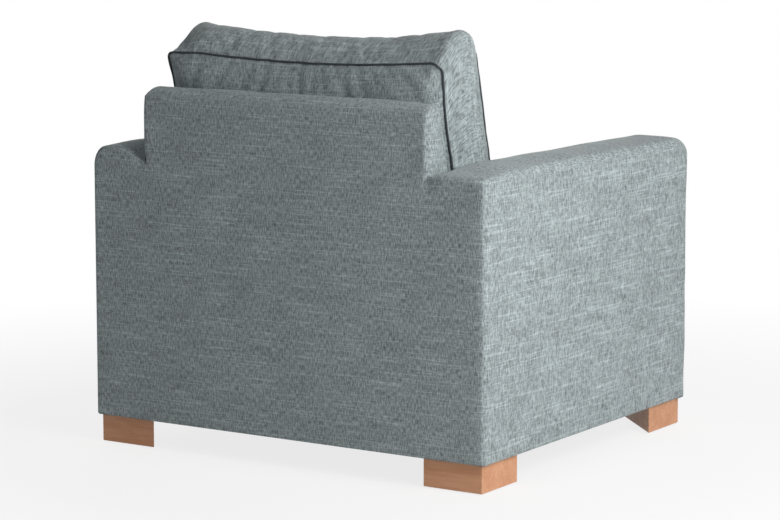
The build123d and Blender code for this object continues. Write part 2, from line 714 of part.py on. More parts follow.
def cushion_parts(form, seam):
    """Cover, wadding, foam core and piping of a box cushion.

    form(inset) is its filled shape, and seam(end, inset) the face inside one of its seams."""
    skin = form(0) - form(FABRIC)
    core = form(FABRIC + WADDING)
    wadding = form(FABRIC) - core
    piping = []
    for end in (0, 1):
        channel = extrude(seam(end, -3 * SEAM), amount=SEAM, both=True)
        channel -= extrude(seam(end, SEAM), amount=2 * SEAM, both=True)
        skin -= channel
        wadding -= channel
        piping.append(piping_loop(seam(end, -CORD_OUT)))
    return {"cover": group([skin]), "wadding": wadding, "core": core, "piping": group(piping)}


# ------------------------------------------------------- zips
ZIP_HALF = 280.0
ZIP_TAPE = 24.0
ZIP_THICK = 0.8
COIL_WIDTH = 5.0
COIL_THICK = 2.0
SLIDER_LENGTH = 11.0
SLIDER_GAP = 0.4
SLIDER_X = ZIP_HALF - 12           # the closed end of each zip


def zip_slot(place):
    """Gap between two halves of a boxing, which the zip's tape fills."""
    return place * Box(2 * ZIP_HALF, ZIP_TAPE, 4 * FABRIC)


def zip_at(place):
    """A coil zip lying on the local XY plane, its teeth along X."""
    tape = Box(2 * ZIP_HALF, ZIP_TAPE, ZIP_THICK, align=(Align.CENTER, Align.CENTER, Align.MIN))
    coil = Box(2 * ZIP_HALF - 20, COIL_WIDTH, COIL_THICK,
               align=(Align.CENTER, Align.CENTER, Align.MIN))
    return place * (tape + coil)


def slider_at(place):
    """The zip's slider, bridging the coil, with its pull tab lying back."""
    base = COIL_THICK + SLIDER_GAP
    slider = Pos(SLIDER_X, 0, base) * Box(SLIDER_LENGTH, 9, 1.4, align=(
        Align.CENTER, Align.CENTER, Align.MIN))
    foot_z = ZIP_THICK + SLIDER_GAP
    for side in (-1, 1):
        slider += Pos(SLIDER_X, side * 3.9, foot_z) * Box(
            SLIDER_LENGTH - 4, 1.2, base - foot_z, align=(Align.CENTER, Align.CENTER, Align.MIN))
    tab = Pos(SLIDER_X - 12, 0, base + 1.4) * Box(24, 6, 1.2, align=(
        Align.CENTER, Align.CENTER, Align.MIN))
    return place * (slider + tab)


SEAT_ZIP = Plane(origin=(0, SEAT_REAR, SEAT_BOTTOM + 78), x_dir=(1, 0, 0), z_dir=(0, 1, 0))
BACK_ZIP = Plane(origin=(0, 208, BACK_BOTTOM + FABRIC), x_dir=(1, 0, 0), z_dir=(0, 0, -1))


# ------------------------------------------------------- the whole chair
def chair():
    """Every node of the armchair by name."""
    nodes = {
        "outside_back_cover": outside_back_cover(),
        "outside_back_wadding": outside_back_wadding(),
        "outside_back_panel": outside_back_panel(),
        "inside_back_cover": inside_back_cover(),
        "inside_back_padding": inside_back_padding(),
        "back_webbing": back_webbing(),
        "back_top_rail": back_rail(UPRIGHT_TOP - 60, UPRIGHT_TOP),
        "back_middle_rail": back_rail(400, 445),
        "back_cleats": back_cleats(),
        "front_rail_cover": front_rail_cover(),
        "front_rail_padding": front_rail_padding(),
        "seat_front_rail": seat_front_rail(),
        "seat_rear_rail": seat_rear_rail(),
        "seat_corner_blocks": corner_blocks(),
        "seat_deck_cloth": seat_deck_cloth(),
        "seat_deck_pad": seat_deck_pad(),
        "deck_edge_foam": deck_edge_foam(),
        "seat_springs": seat_springs(),
        "spring_clips": spring_clips(),
        "arm_bolts": arm_bolts(),
        "dust_cover": dust_cover(),
        "foot_glides": foot_glides(),
        "foot_bolts": foot_bolts(),
        "foot_tee_nuts": foot_tee_nuts(),
        "seat_cushion_zip": zip_at(SEAT_ZIP),
        "seat_zip_slider": slider_at(SEAT_ZIP),
        "back_cushion_zip": zip_at(BACK_ZIP),
        "back_zip_slider": slider_at(BACK_ZIP),
    }
    handed = {
        "arm_cover": arm_cover(),
        "arm_padding": arm_padding(),
        "back_upright": back_upright(),
        "seat_side_rail": seat_side_rail(),
    }
    handed.update(arm_timber())
    for name, piece in handed.items():
        nodes["left_" + name] = piece
        nodes["right_" + name] = mirror(piece, about=Plane.YZ)
    corners = ["rear_left_foot", "front_left_foot", "rear_right_foot", "front_right_foot"]
    nodes.update(zip(corners, four_corners(foot())))
    seat = cushion_parts(seat_form, seat_seam)
    back = cushion_parts(back_form_loose, back_seam)
    back["cover"] -= zip_slot(BACK_ZIP)
    for part, piece in seat.items():
        nodes["seat_cushion_" + part] = piece
    for part, piece in back.items():
        nodes["back_cushion_" + part] = piece
    return nodes


os.makedirs("parts", exist_ok=True)
for node_name, node_shape in chair().items():
    export_step(node_shape, f"parts/{node_name}.step")
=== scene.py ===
"""Upholstered armchair: the visual model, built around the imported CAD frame.

Metres. X runs to the sitter's left, Y to the back of the chair and Z up.
"""
import json
import math

import bmesh
import bpy
import numpy as np
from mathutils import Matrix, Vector

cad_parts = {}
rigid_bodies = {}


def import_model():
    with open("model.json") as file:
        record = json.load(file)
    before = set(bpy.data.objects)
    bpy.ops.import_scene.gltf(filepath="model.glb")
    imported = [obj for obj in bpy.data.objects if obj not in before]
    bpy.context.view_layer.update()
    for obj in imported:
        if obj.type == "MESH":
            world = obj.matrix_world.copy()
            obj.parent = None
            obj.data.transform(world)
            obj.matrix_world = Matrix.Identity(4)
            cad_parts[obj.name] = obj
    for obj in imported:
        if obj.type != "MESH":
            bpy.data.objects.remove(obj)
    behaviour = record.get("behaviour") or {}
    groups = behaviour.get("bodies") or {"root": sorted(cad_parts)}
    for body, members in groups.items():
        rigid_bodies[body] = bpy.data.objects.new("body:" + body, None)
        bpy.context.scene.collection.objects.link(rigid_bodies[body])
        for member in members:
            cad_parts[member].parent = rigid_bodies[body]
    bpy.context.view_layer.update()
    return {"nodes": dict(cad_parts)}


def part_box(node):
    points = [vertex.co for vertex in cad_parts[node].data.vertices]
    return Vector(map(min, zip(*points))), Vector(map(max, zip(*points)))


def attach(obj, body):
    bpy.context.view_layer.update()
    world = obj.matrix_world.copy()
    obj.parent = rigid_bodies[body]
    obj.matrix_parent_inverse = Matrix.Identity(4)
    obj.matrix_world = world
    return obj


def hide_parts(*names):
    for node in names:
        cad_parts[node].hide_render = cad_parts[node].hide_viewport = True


for thing in list(bpy.data.objects):
    bpy.data.objects.remove(thing)
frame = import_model()
nodes = frame["nodes"]

# ---------------------------------------------------------------- places, from the CAD
ARM_LO, ARM_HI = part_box("left_arm_cover")
SEATBACK_LO, SEATBACK_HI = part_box("inside_back_cover")
REAR_LO, REAR_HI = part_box("outside_back_cover")
RAIL_LO, RAIL_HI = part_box("front_rail_cover")
DECK_LO, DECK_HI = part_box("seat_deck_cloth")
SEAT_LO, SEAT_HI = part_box("seat_cushion_cover")
CUSHION_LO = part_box("back_cushion_cover")[0]

ARM_INNER = ARM_LO.x
ARM_OUTER = ARM_HI.x
FRONT = ARM_LO.y
REAR = REAR_HI.y
HEM = REAR_LO.z
BACK_TOP = SEATBACK_HI.z - 0.004
BACK_HALF = SEATBACK_HI.x
ARM_EDGE = ARM_HI.z - 0.006         # the arm's top, without its crown

LEAN = math.radians(15)             # the backrest's front, from the vertical
BACK_TOP_DEPTH = 0.054
REAR_RADIUS = 0.011                 # edges of the outside back
PIPING_RADIUS = 0.0023
HEM_TURN = 0.004                    # radius at which the covers turn under
HEM_WIDTH = 0.02                    # and how far they then run in
SEAM_STEPS = np.array([0.0, 0.0005, 0.0012, 0.0022, 0.0036, 0.0058, 0.0086])


def back_skin(z):
    """Y of the inside back at height z."""
    return REAR - BACK_TOP_DEPTH - (SEATBACK_HI.z - z) * math.tan(LEAN)


# ---------------------------------------------------------------- small helpers
def smooth(t):
    t = np.clip(t, 0.0, 1.0)
    return t * t * (3 - 2 * t)


def field(points, size, seed):
    """A smooth random field from about -1 to 1 at the points, with bumps of that size."""
    random = np.random.default_rng(seed)
    total = np.zeros(points.shape[:-1])
    count = 14
    for _ in range(count):
        direction = random.normal(size=3)
        direction /= np.linalg.norm(direction)
        turn = 2 * math.pi / (size * random.uniform(1.3, 2.8))
        total += np.sin(points @ direction * turn + random.uniform(0, 2 * math.pi))
    return total / math.sqrt(count)


def groove(distance, depth=0.0003, width=0.0010):
    """How far a skin dips at a seam."""
    return depth * np.exp(-(distance / width) ** 2)


def spread(length, step, fine_start=SEAM_STEPS, fine_end=None):
    """Positions along a length, close together at a seam and a step apart between."""
    start = np.asarray(fine_start)
    end = length - np.asarray(fine_end)[::-1] if fine_end is not None else np.array([length])
    count = max(1, round((end[0] - start[-1]) / step))
    middle = np.linspace(start[-1], end[0], count + 1)[1:-1]
    return np.concatenate([start, middle, end])


class Skin:
    """Grids of points that become one welded mesh, with the cloth's own coordinates."""

    def __init__(self):
        self.points, self.faces, self.cloth = [], [], []
        self.total = 0

    def add(self, grid, cloth, flip=False, patch=0.0):
        """grid: rows x columns x 3; cloth: rows x columns x 2, in metres."""
        rows, columns = grid.shape[:2]
        index = np.arange(rows * columns).reshape(rows, columns) + self.total
        quads = np.stack([index[:-1, :-1], index[1:, :-1], index[1:, 1:], index[:-1, 1:]], -1)
        quads = quads.reshape(-1, 4)
        if flip:
            quads = quads[:, ::-1]
        self.points.append(grid.reshape(-1, 3))
        self.faces.append(quads)
        weave = np.concatenate([cloth.reshape(-1, 2), np.full((rows * columns, 1), patch)], 1)
        self.cloth.append(weave)
        self.total += rows * columns

    def build(self, name, material, weld=4e-5):
        points = np.concatenate(self.points)
        faces = np.concatenate(self.faces)
        weave = np.concatenate(self.cloth)
        return make_mesh(name, points, faces, weave[faces.ravel()], material, weld)


def make_mesh(name, points, faces, weave, material, weld=0.0):
    """A smooth-shaded mesh; weave holds the cloth coordinates of each face corner."""
    mesh = bpy.data.meshes.new(name)
    mesh.from_pydata(points.tolist(), [], faces.tolist())
    if weave is not None:
        layer = mesh.attributes.new("weave", "FLOAT_VECTOR", "CORNER")
        layer.data.foreach_set("vector", weave.astype(np.float32).ravel())
    if weld:
        work = bmesh.new()
        work.from_mesh(mesh)
        bmesh.ops.remove_doubles(work, verts=work.verts, dist=weld)
        work.to_mesh(mesh)
        work.free()
    mesh.polygons.foreach_set("use_smooth", [True] * len(mesh.polygons))
    mesh.materials.append(material)
    piece = bpy.data.objects.new(name, mesh)
    bpy.context.scene.collection.objects.link(piece)
    return piece


# ---------------------------------------------------------------- materials
class Graph:
    """A short way to write a node tree."""

    def __init__(self, name):
        self.material = bpy.data.materials.new(name)
        self.material.use_nodes = True
        self.tree = self.material.node_tree
        self.shader = self.tree.nodes["Principled BSDF"]
        self.output = self.tree.nodes["Material Output"]

    def node(self, kind, *inputs, **settings):
        made = self.tree.nodes.new("ShaderNode" + kind)
        for key, value in settings.items():
            if key in made.inputs:
                self.plug(made.inputs[key], value)
            else:
                setattr(made, key, value)
        for socket, value in zip(made.inputs, inputs):
            if value is not None:
                self.plug(socket, value)
        return made

    def plug(self, socket, value):
        if isinstance(value, bpy.types.NodeSocket):
            self.tree.links.new(value, socket)
        elif isinstance(value, bpy.types.Node):
            self.tree.links.new(value.outputs[0], socket)
        else:
            socket.default_value = value

    def set(self, **values):
        for key, value in values.items():
            self.plug(self.shader.inputs[key.replace("_", " ")], value)

    def maths(self, operation, *values):
        return self.node("Math", *values, operation=operation).outputs[0]

    def noise(self, vector, scale, detail=1.0, rough=0.5):
        """Noise at the vector stretched by the scale, from about 0.25 to 0.75."""
        stretched = self.node("VectorMath", vector, scale, operation="MULTIPLY")
        return self.node("TexNoise", Vector=stretched.outputs[0], Scale=1.0, Detail=detail,
                         Roughness=rough).outputs["Fac"]

    def ramp(self, value, low, high, to_low=0.0, to_high=1.0):
        made = self.node("MapRange", value, low, high, to_low, to_high)
        return made.outputs[0]

    def bump(self, height, distance, strength=1.0):
        made = self.node("Bump", Height=height, Distance=distance, Strength=strength)
        self.plug(self.shader.inputs["Normal"], made.outputs[0])

    def tint(self, colour, value):
        """The colour times a grey value."""
        grey = self.node("CombineColor", value, value, value)
        mixed = self.node("Mix", data_type="RGBA", blend_type="MULTIPLY")
        mixed.inputs["Factor"].default_value = 1.0
        self.plug(mixed.inputs["A"], (*colour, 1.0))
        self.plug(mixed.inputs["B"], grey.outputs[0])
        return mixed.outputs["Result"]


def woven(name, colour, strength=1.0, slubs=1.0):
    """Coarse heathered cloth: flecks along the warp, thin slubs along the weft."""
    g = Graph(name)
    weave = g.node("Attribute", attribute_name="weave").outputs["Vector"]
    shifted = g.node("VectorMath", weave, (1.0, 1.0, 13.7), operation="MULTIPLY").outputs[0]
    fleck = g.noise(shifted, (430.0, 105.0, 1.0), 1.0)
    long_fleck = g.noise(shifted, (330.0, 50.0, 1.0), 0.0)
    weft = g.noise(shifted, (90.0, 470.0, 1.0), 0.0)
    slub = g.noise(shifted, (10.0, 330.0, 1.0), 0.0)
    cloud = g.noise(shifted, (14.0, 24.0, 1.0), 2.0)
    parts = [
        g.ramp(fleck, 0.3, 0.7, -0.26 * strength, 0.26 * strength),
        g.ramp(long_fleck, 0.3, 0.7, -0.07 * strength, 0.07 * strength),
        g.ramp(weft, 0.3, 0.7, -0.09 * strength, 0.09 * strength),
        g.ramp(slub, 0.60, 0.72, 0.0, 0.21 * slubs * strength),
        g.ramp(cloud, 0.3, 0.7, -0.05 * strength, 0.05 * strength),
    ]
    total = 1.0
    for part in parts:
        total = g.maths("ADD", total, part)
    g.set(Base_Color=g.tint(colour, total), Roughness=0.92, Sheen_Weight=0.15, Sheen_Roughness=0.45)
    g.plug(g.shader.inputs["Specular IOR Level"], 0.18)
    threads = g.noise(shifted, (1150.0, 1150.0, 1.0), 0.0)
    height = g.maths("ADD", g.maths("MULTIPLY", fleck, 0.7), g.maths("MULTIPLY", threads, 0.4))
    height = g.maths("ADD", height, g.maths("MULTIPLY", weft, 0.5))
    height = g.maths("ADD", height, g.maths("MULTIPLY", slub, 0.5))
    g.bump(height, 0.0009, 0.62)
    return g.material


def plain(name, colour, rough=0.8, metal=0.0, scale=(300.0, 300.0, 300.0), contrast=0.15,
          depth=0.0002):
    """A matt or metal finish with fine mottling, from object coordinates."""
    g = Graph(name)
    place = g.node("TexCoord").outputs["Object"]
    grain = g.noise(place, scale, 3.0)
    blotch = g.noise(place, tuple(s * 0.08 for s in scale), 2.0)
    total = g.maths("ADD", g.ramp(grain, 0.3, 0.7, 1.0 - contrast, 1.0 + contrast),
                    g.ramp(blotch, 0.3, 0.7, -0.5 * contrast, 0.5 * contrast))
    g.set(Base_Color=g.tint(colour, total), Metallic=metal)
    g.plug(g.shader.inputs["Roughness"], g.ramp(blotch, 0.3, 0.7, rough - 0.08, rough + 0.05))
    g.bump(grain, depth)
    return g.material


def timber(name, light, dark, scale=1.0, gloss=0.45):
    """Straight-grained wood, with its grain along X."""
    g = Graph(name)
    place = g.node("TexCoord").outputs["Object"]
    wander = g.noise(place, (7.0 * scale, 20.0 * scale, 20.0 * scale), 2.0)
    bent = g.node("VectorMath", place, operation="ADD")
    offset = g.node("CombineXYZ", 0.0, g.ramp(wander, 0.3, 0.7, -0.006, 0.006),
                    g.ramp(wander, 0.3, 0.7, -0.005, 0.005))
    g.plug(bent.inputs[1], offset.outputs[0])
    lines = g.noise(bent.outputs[0], (9.0 * scale, 170.0 * scale, 170.0 * scale), 3.0, 0.6)
    pores = g.noise(place, (90.0 * scale, 900.0 * scale, 900.0 * scale), 1.0)
    bands = g.noise(bent.outputs[0], (3.0 * scale, 42.0 * scale, 42.0 * scale), 1.0)
    share = g.maths("ADD", g.ramp(lines, 0.3, 0.7, 0.0, 0.55), g.ramp(bands, 0.3, 0.7, 0.0, 0.45))
    share = g.maths("ADD", share, g.ramp(pores, 0.58, 0.75, 0.0, 0.22))
    colour = g.node("Mix", data_type="RGBA", blend_type="MIX")
    g.plug(colour.inputs["Factor"], share)
    g.plug(colour.inputs["A"], (*light, 1.0))
    g.plug(colour.inputs["B"], (*dark, 1.0))
    g.set(Base_Color=colour.outputs["Result"])
    g.plug(g.shader.inputs["Roughness"], g.ramp(lines, 0.3, 0.7, gloss - 0.05, gloss + 0.08))
    g.bump(g.maths("ADD", lines, pores), 0.00025, 0.5)
    return g.material


CLOTH = (0.324, 0.374, 0.383)
upholstery = woven("upholstery_cloth", CLOTH, 1.4)
# painted shade: the piping is the upholstery's own cloth, and this near-black colour stands in for the
# shadow in the grooves along the cushions' seams
piping_painted_shade = woven("piping_painted_shade", (0.060, 0.070, 0.075), 0.5, 0.3)
beech = timber("beech_lacquered", (0.74, 0.395, 0.225), (0.57, 0.25, 0.12))
lining = plain("black_lining", (0.035, 0.036, 0.038), 0.9, contrast=0.25)
felt = plain("felt_grey", (0.13, 0.12, 0.11), 0.95, contrast=0.3, depth=0.0005)
finishes = {
    "beech": beech,
    "felt": felt,
    "lining": lining,
    "steel": plain("steel_zinc", (0.62, 0.63, 0.64), 0.35, 1.0, contrast=0.08),
    "foam": plain("foam_cream", (0.78, 0.72, 0.55), 0.95, contrast=0.1, depth=0.0006),
    "wadding": plain("wadding_white", (0.82, 0.82, 0.8), 0.95, contrast=0.08, depth=0.0006),
    "webbing": plain("webbing_black", (0.05, 0.05, 0.052), 0.85,
                     scale=(900.0, 900.0, 120.0), contrast=0.3),
    "zip_tape": plain("zip_tape_grey", (0.11, 0.125, 0.13), 0.85,
                      scale=(60.0, 1100.0, 1100.0), contrast=0.25),
    "zip_metal": plain("zip_metal_dark", (0.3, 0.3, 0.31), 0.32, 1.0, contrast=0.06),
    "hardboard": plain("hardboard_brown", (0.30, 0.19, 0.11), 0.8, contrast=0.2),
    "frame_timber": timber("frame_pine", (0.80, 0.62, 0.40), (0.66, 0.45, 0.25), 0.6, 0.7),
    "upholstery": upholstery,
    "piping": piping_painted_shade,
}
for node in nodes.values():
    for place in node.material_slots:
        place.material = finishes[place.material.name.split(".")[0]]


# ---------------------------------------------------------------- prisms with soft edges
def outward(profile):
    """Outward normals of a profile that runs forwards over a top and down a front."""
    step = np.gradient(profile, axis=0)
    step /= np.linalg.norm(step, axis=1)[:, None]
    return np.stack([step[:, 1], -step[:, 0]], 1)


def run_along(line):
    """Length along a line of points, from its first point."""
    return np.concatenate([[0], np.cumsum(np.linalg.norm(np.diff(line, axis=0), axis=1))])


def bend(centre_y, centre_z, reach, drop, angle):
    """Part of an ellipse that turns forwards and down from the top."""
    return np.stack([centre_y - reach * np.sin(angle), centre_z + drop * np.cos(angle)], 1)


def arc_angles(count):
    return np.linspace(0, math.pi / 2, count)


class Prism:
    """A padded form that runs across the chair: its side view is a profile from the rear
    seam forwards over the top, round the front corner and down, and its two flat sides
    join it in soft edges. Profile points and outward normals are (y, z)."""

    def __init__(self, profile, corner, x0, x1, edge0, edge1, crown, bottom):
        self.profile = profile
        self.corner = corner
        self.x0, self.x1 = x0, x1
        self.edges = (edge0, edge1)     # each: rows x (reach across, reach down)
        self.crown = crown
        self.bottom = bottom
        self.normals = outward(profile)

    def strip(self, middle=12, turns=8):
        """The top and front: points, outward normals and cloth coordinates."""
        rows = len(self.profile)
        angle = arc_angles(turns)
        across, drop, tilt = [], [], []
        for side, x, edge in ((1, self.x0, self.edges[0]), (-1, self.x1, self.edges[1])):
            reach, depth = edge[:, :1], edge[:, 1:]
            across.append(x + side * reach * (1 - np.cos(angle)))
            drop.append(depth * (1 - np.sin(angle)))
            tilt.append(np.broadcast_to(-side * np.cos(angle), (rows, turns)))
        share = np.linspace(0, 1, middle + 2)[1:-1]
        flat = across[0][:, -1:] + (across[1][:, -1:] - across[0][:, -1:]) * share
        x = np.concatenate([across[0], flat, across[1][:, ::-1]], 1)
        h = -np.concatenate([drop[0], np.zeros_like(flat), drop[1][:, ::-1]], 1)
        nx = np.concatenate([tilt[0], np.zeros_like(flat), tilt[1][:, ::-1]], 1)
        centre = (x - (self.x0 + self.x1) / 2) / ((self.x1 - self.x0) / 2)
        h = h + self.crown[:, None] * (1 - centre ** 2)
        up = np.sqrt(np.clip(1 - nx ** 2, 0, 1))
        ny, nz = self.normals[:, :1], self.normals[:, 1:]
        points = np.stack([x, self.profile[:, :1] + ny * h, self.profile[:, 1:] + nz * h], -1)
        normals = np.stack([nx, ny * up, nz * up], -1)
        along = run_along(self.profile)
        width = np.linalg.norm(np.diff(np.stack([x, h], -1), axis=1), axis=2)
        girth = np.concatenate([np.zeros((rows, 1)), np.cumsum(width, 1)], 1)
        cloth = np.stack([girth, np.broadcast_to(along[:, None], x.shape)], -1)
        return points, normals, cloth

    def side(self, which):
        """A flat side, between the profile's top and front, the rear edge and the bottom."""
        edge = self.edges[which]
        rim = self.profile - self.normals * edge[:, 1:]
        top = rim[:self.corner + 1]
        front = rim[self.corner:][::-1]                 # from the bottom up to the corner
        share = (top[:, 0] - top[0, 0]) / (top[-1, 0] - top[0, 0])
        floor = np.stack([top[0, 0] + (front[0, 0] - top[0, 0]) * share,
                          np.full(len(top), self.bottom)], 1)
        front[0, 1] = self.bottom
        lift = run_along(front)
        lift /= lift[-1]
        rear = np.stack([np.full(len(front), top[0, 0]),
                         self.bottom + (top[0, 1] - self.bottom) * lift], 1)
        u = share[:, None, None]
        v = lift[None, :, None]
        yz = ((1 - v) * floor[:, None] + v * top[:, None] + (1 - u) * rear[None] + u * front[None]
              - (1 - u) * (1 - v) * floor[0] - u * (1 - v) * floor[-1]
              - (1 - u) * v * top[0] - u * v * top[-1])
        x = np.full(yz.shape[:2], self.x1 if which else self.x0)
        points = np.stack([x, yz[..., 0], yz[..., 1]], -1)
        normals = np.zeros_like(points)
        normals[..., 0] = 1 if which else -1
        return points, normals, yz.copy()

    def parts(self, patch, *counts):
        """The strip and both sides: points, normals, cloth, whether to flip, and patch."""
        found = [(*self.strip(*counts), False, patch)]
        for which in (0, 1):
            found.append((*self.side(which), which == 1, patch + 1.0 + which))
        return found


def rear_turn(y):
    """How far a skin draws in as it turns towards the outside back's seam."""
    t = np.clip(y - (REAR - REAR_RADIUS), 0, REAR_RADIUS * 0.9999)
    return REAR_RADIUS - np.sqrt(REAR_RADIUS ** 2 - t ** 2)


def rear_distance(y):
    """Distance along the skin from the outside back's seam, which is halfway round."""
    t = np.clip(y - (REAR - REAR_RADIUS), 0, REAR_RADIUS * 0.9999)
    flat = np.clip(REAR - REAR_RADIUS - y, 0, None)
    return flat + REAR_RADIUS * (math.pi / 4 - np.arcsin(t / REAR_RADIUS))


def rear_rows():
    """Y of the rows that turn to the seam, from the seam forwards."""
    return REAR - REAR_RADIUS + REAR_RADIUS * np.sin(math.pi / 4 - SEAM_STEPS / REAR_RADIUS)


def turned_under(edge, axis, inwards):
    """Rows that turn a skin's bottom edge under, then run in along the axis."""
    rows = []
    for turn in np.radians([0, 30, 60, 90]):
        row = edge.copy()
        row[:, axis] += inwards * HEM_TURN * (1 - math.cos(turn))
        row[:, 2] = HEM + HEM_TURN * (1 - math.sin(turn))
        rows.append(row)
    row = rows[-1].copy()
    row[:, axis] += inwards * HEM_WIDTH
    return np.stack(rows + [row])


def fixed_padding(piece, *nodes):
    """Fixes a padded cover to the frame body and hides the CAD nodes that it stands in for."""
    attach(piece, "frame")
    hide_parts(*nodes)


# ---------------------------------------------------------------- arms
CORNER_REACH = 0.054        # the arm's front top corner, along Y
CORNER_DROP = 0.035


def arm_drop(y, sitters_left):
    """The arm's top sinks towards the outside back."""
    return (0.002 if sitters_left else 0.004) * smooth((y - 0.28) / (REAR - 0.28))


def arm_crown(y, sitters_left):
    """Rise of the arm's top between its edges, which the right arm loses at the rear."""
    flat = 0.001 if sitters_left else 0.008
    rise = 0.008 - 0.005 * smooth((0.16 - y) / 0.36)
    return rise - flat * smooth((y - 0.28) / (REAR - 0.28))


def arm_tuck(x, y, sitters_left):
    """The pull of the seam where the arm's top meets the backrest's side."""
    depth, width = (0.019, 0.045) if sitters_left else (0.003, 0.030)
    near = np.exp(-((x - ARM_INNER) / width) ** 2)
    return depth * near * smooth((y - 0.27) / 0.10)


def arm_outer_edge(y, sitters_left):
    """Reach across and down of the arm's outer top edge."""
    if sitters_left:
        soft = smooth((y + 0.34) / 0.40)
        reach = 0.018 + 0.009 * soft
        depth = 0.018 + 0.018 * soft
    else:
        soft = smooth((REAR - 0.01 - y) / 0.34)
        reach = 0.007 + 0.007 * soft
        depth = 0.007 + 0.010 * soft
    return reach, depth


def arm(name, sitters_left):
    rows = rear_rows()
    top_y = np.concatenate([rows, np.linspace(rows[-1], FRONT + CORNER_REACH, 62)[1:]])
    top = np.stack([top_y, ARM_EDGE - arm_drop(top_y, sitters_left)], 1)
    centre_y, centre_z = FRONT + CORNER_REACH, ARM_EDGE - CORNER_DROP
    turn = bend(centre_y, centre_z, CORNER_REACH, CORNER_DROP, arc_angles(13)[1:])
    down = np.linspace(centre_z, HEM + HEM_TURN, 40)[1:]
    front = np.stack([np.full(len(down), FRONT), down], 1)
    profile = np.concatenate([top, turn, front])
    corner = len(top) + 5
    reach, depth = arm_outer_edge(profile[:, 0], sitters_left)
    upright = np.sqrt(1 - np.clip((centre_y - profile[:, 0]) / CORNER_REACH, 0, 1) ** 2)
    least = 0.012 if sitters_left else 0.008
    reach = least + (reach - least) * upright
    depth = least + (depth - least) * upright
    low = smooth((centre_z + 0.02 - profile[:, 1]) / 0.12)
    outer = np.stack([reach, depth], 1)
    ahead = smooth((FRONT + 0.15 - profile[:, 0]) / 0.10) * upright
    inner = np.stack([0.020 + 0.018 * ahead, 0.020 + 0.009 * ahead], 1)
    crown = arm_crown(profile[:, 0], sitters_left) * (1 - 0.5 * low)
    form = Prism(profile, corner, ARM_INNER, ARM_OUTER, inner, outer, crown, HEM + HEM_TURN)
    skin = Skin()
    parts = form.parts(0.0)
    for points, normals, cloth, flip, patch in parts:
        x, y, z = points[..., 0], points[..., 1], points[..., 2]
        upward = np.clip(normals[..., 2], 0, 1)
        points[..., 2] -= arm_tuck(x, y, sitters_left) * upward
        sink = rear_turn(y) + groove(rear_distance(y))
        wave = 0.0007 * field(points, 0.11, 3) + 0.0004 * field(points, 0.045, 4)
        quiet = smooth((rear_distance(y) - 0.004) / 0.03) * smooth((z - HEM) / 0.04)
        points += normals * (wave * quiet - sink)[..., None]
        if patch == 2.0:            # the outer side is slightly padded
            swell = 0.0030 * smooth((z - HEM) / 0.2) * smooth((z[:, -1:] - z) / 0.08)
            points[..., 0] += swell * smooth((REAR - y) / 0.15) * smooth((y - FRONT) / 0.06)
        skin.add(points, cloth, flip, patch + (10 if sitters_left else 0))
    for which in (0, 1):
        hem = turned_under(parts[1 + which][0][:, 0], 0, -1 if which else 1)
        skin.add(hem, hem[..., 1:], which == 1, 1.0 + which + (10 if sitters_left else 0))
    hem = turned_under(parts[0][0][-1], 1, 1)
    skin.add(hem, hem[..., ::2], False, 0.0)
    if not sitters_left:
        for part in skin.points:
            part[:, 0] *= -1
        skin.faces = [f[:, ::-1] for f in skin.faces]
    return skin.build(name, upholstery)


for word in ("left", "right"):
    fixed_padding(arm(word + "_arm_upholstery", word == "left"),
                  word + "_arm_cover", word + "_arm_padding")


# ---------------------------------------------------------------- backrest, inside face
BACK_EDGE = 0.016           # its rounded side edges


def back_top(y):
    """Height of the backrest's top, which rolls over towards the rear."""
    return BACK_TOP - 0.010 * np.clip((y - REAR + 0.044) / 0.044, 0, 1) ** 2.3


def roll_in(y, z):
    """How far the backrest's rear edge rolls forwards under its top."""
    rise = np.clip((z - BACK_TOP + 0.060) / 0.050, 0, 1)
    return 0.003 * rise ** 2 * smooth((y - REAR + 0.038) / 0.030)


def inside_back():
    edge = BACK_EDGE
    rows = rear_rows()
    front_y = back_skin(BACK_TOP)
    radius = 0.022
    turned = math.pi / 2 - LEAN             # angle between the top and the leaning face
    tangent = radius * math.tan(turned / 2)
    top_y = np.concatenate([rows, np.linspace(rows[-1], front_y + tangent, 5)[1:]])
    top = np.stack([top_y, back_top(top_y)], 1)
    turn = bend(front_y + tangent, BACK_TOP - radius, radius, radius,
                np.linspace(0, turned, 9)[1:])
    z = np.linspace(turn[-1, 1], SEATBACK_LO.z, 44)[1:]
    face = np.stack([back_skin(z), z], 1)
    profile = np.concatenate([top, turn, face])
    edges = np.full((len(profile), 2), edge)
    crown = np.concatenate([0.002 * smooth(rear_distance(top_y) / 0.03),
                            np.full(len(turn), 0.002), np.full(len(face), 0.006)])
    form = Prism(profile, len(top) + 3, -BACK_HALF, BACK_HALF, edges, edges, crown,
                 SEATBACK_LO.z)
    form.normals[:len(top)] = (0, 1)
    skin = Skin()
    for points, normals, cloth, flip, patch in form.parts(20.0, 60, 7):
        y = points[..., 1]
        sink = rear_turn(y) + groove(rear_distance(y))
        wave = 0.0014 * field(points, 0.10, 5) + 0.0006 * field(points, 0.04, 6)
        quiet = smooth((rear_distance(y) - 0.004) / 0.03)
        points += normals * (wave * quiet - sink)[..., None]
        if patch > 20:              # the sides are padded out between their edges
            z = points[..., 2]
            swell = smooth((REAR - y) / 0.03) * smooth((BACK_TOP - edge - 0.001 - z) / 0.03)
            inward = y - back_skin(z) - edge / math.cos(LEAN)
            swell = swell * smooth((inward - 0.001) / 0.02) * smooth((z - 0.58) / 0.04)
            points += normals * 0.006 * swell[..., None]
        points[..., 1] -= roll_in(points[..., 1], points[..., 2])
        skin.add(points, cloth, flip, patch)
    return skin.build("inside_back_upholstery", upholstery)


fixed_padding(inside_back(), "inside_back_cover", "inside_back_padding")


# ---------------------------------------------------------------- outside back
SEAM_IN = REAR_RADIUS * (1 - math.sin(math.pi / 4))


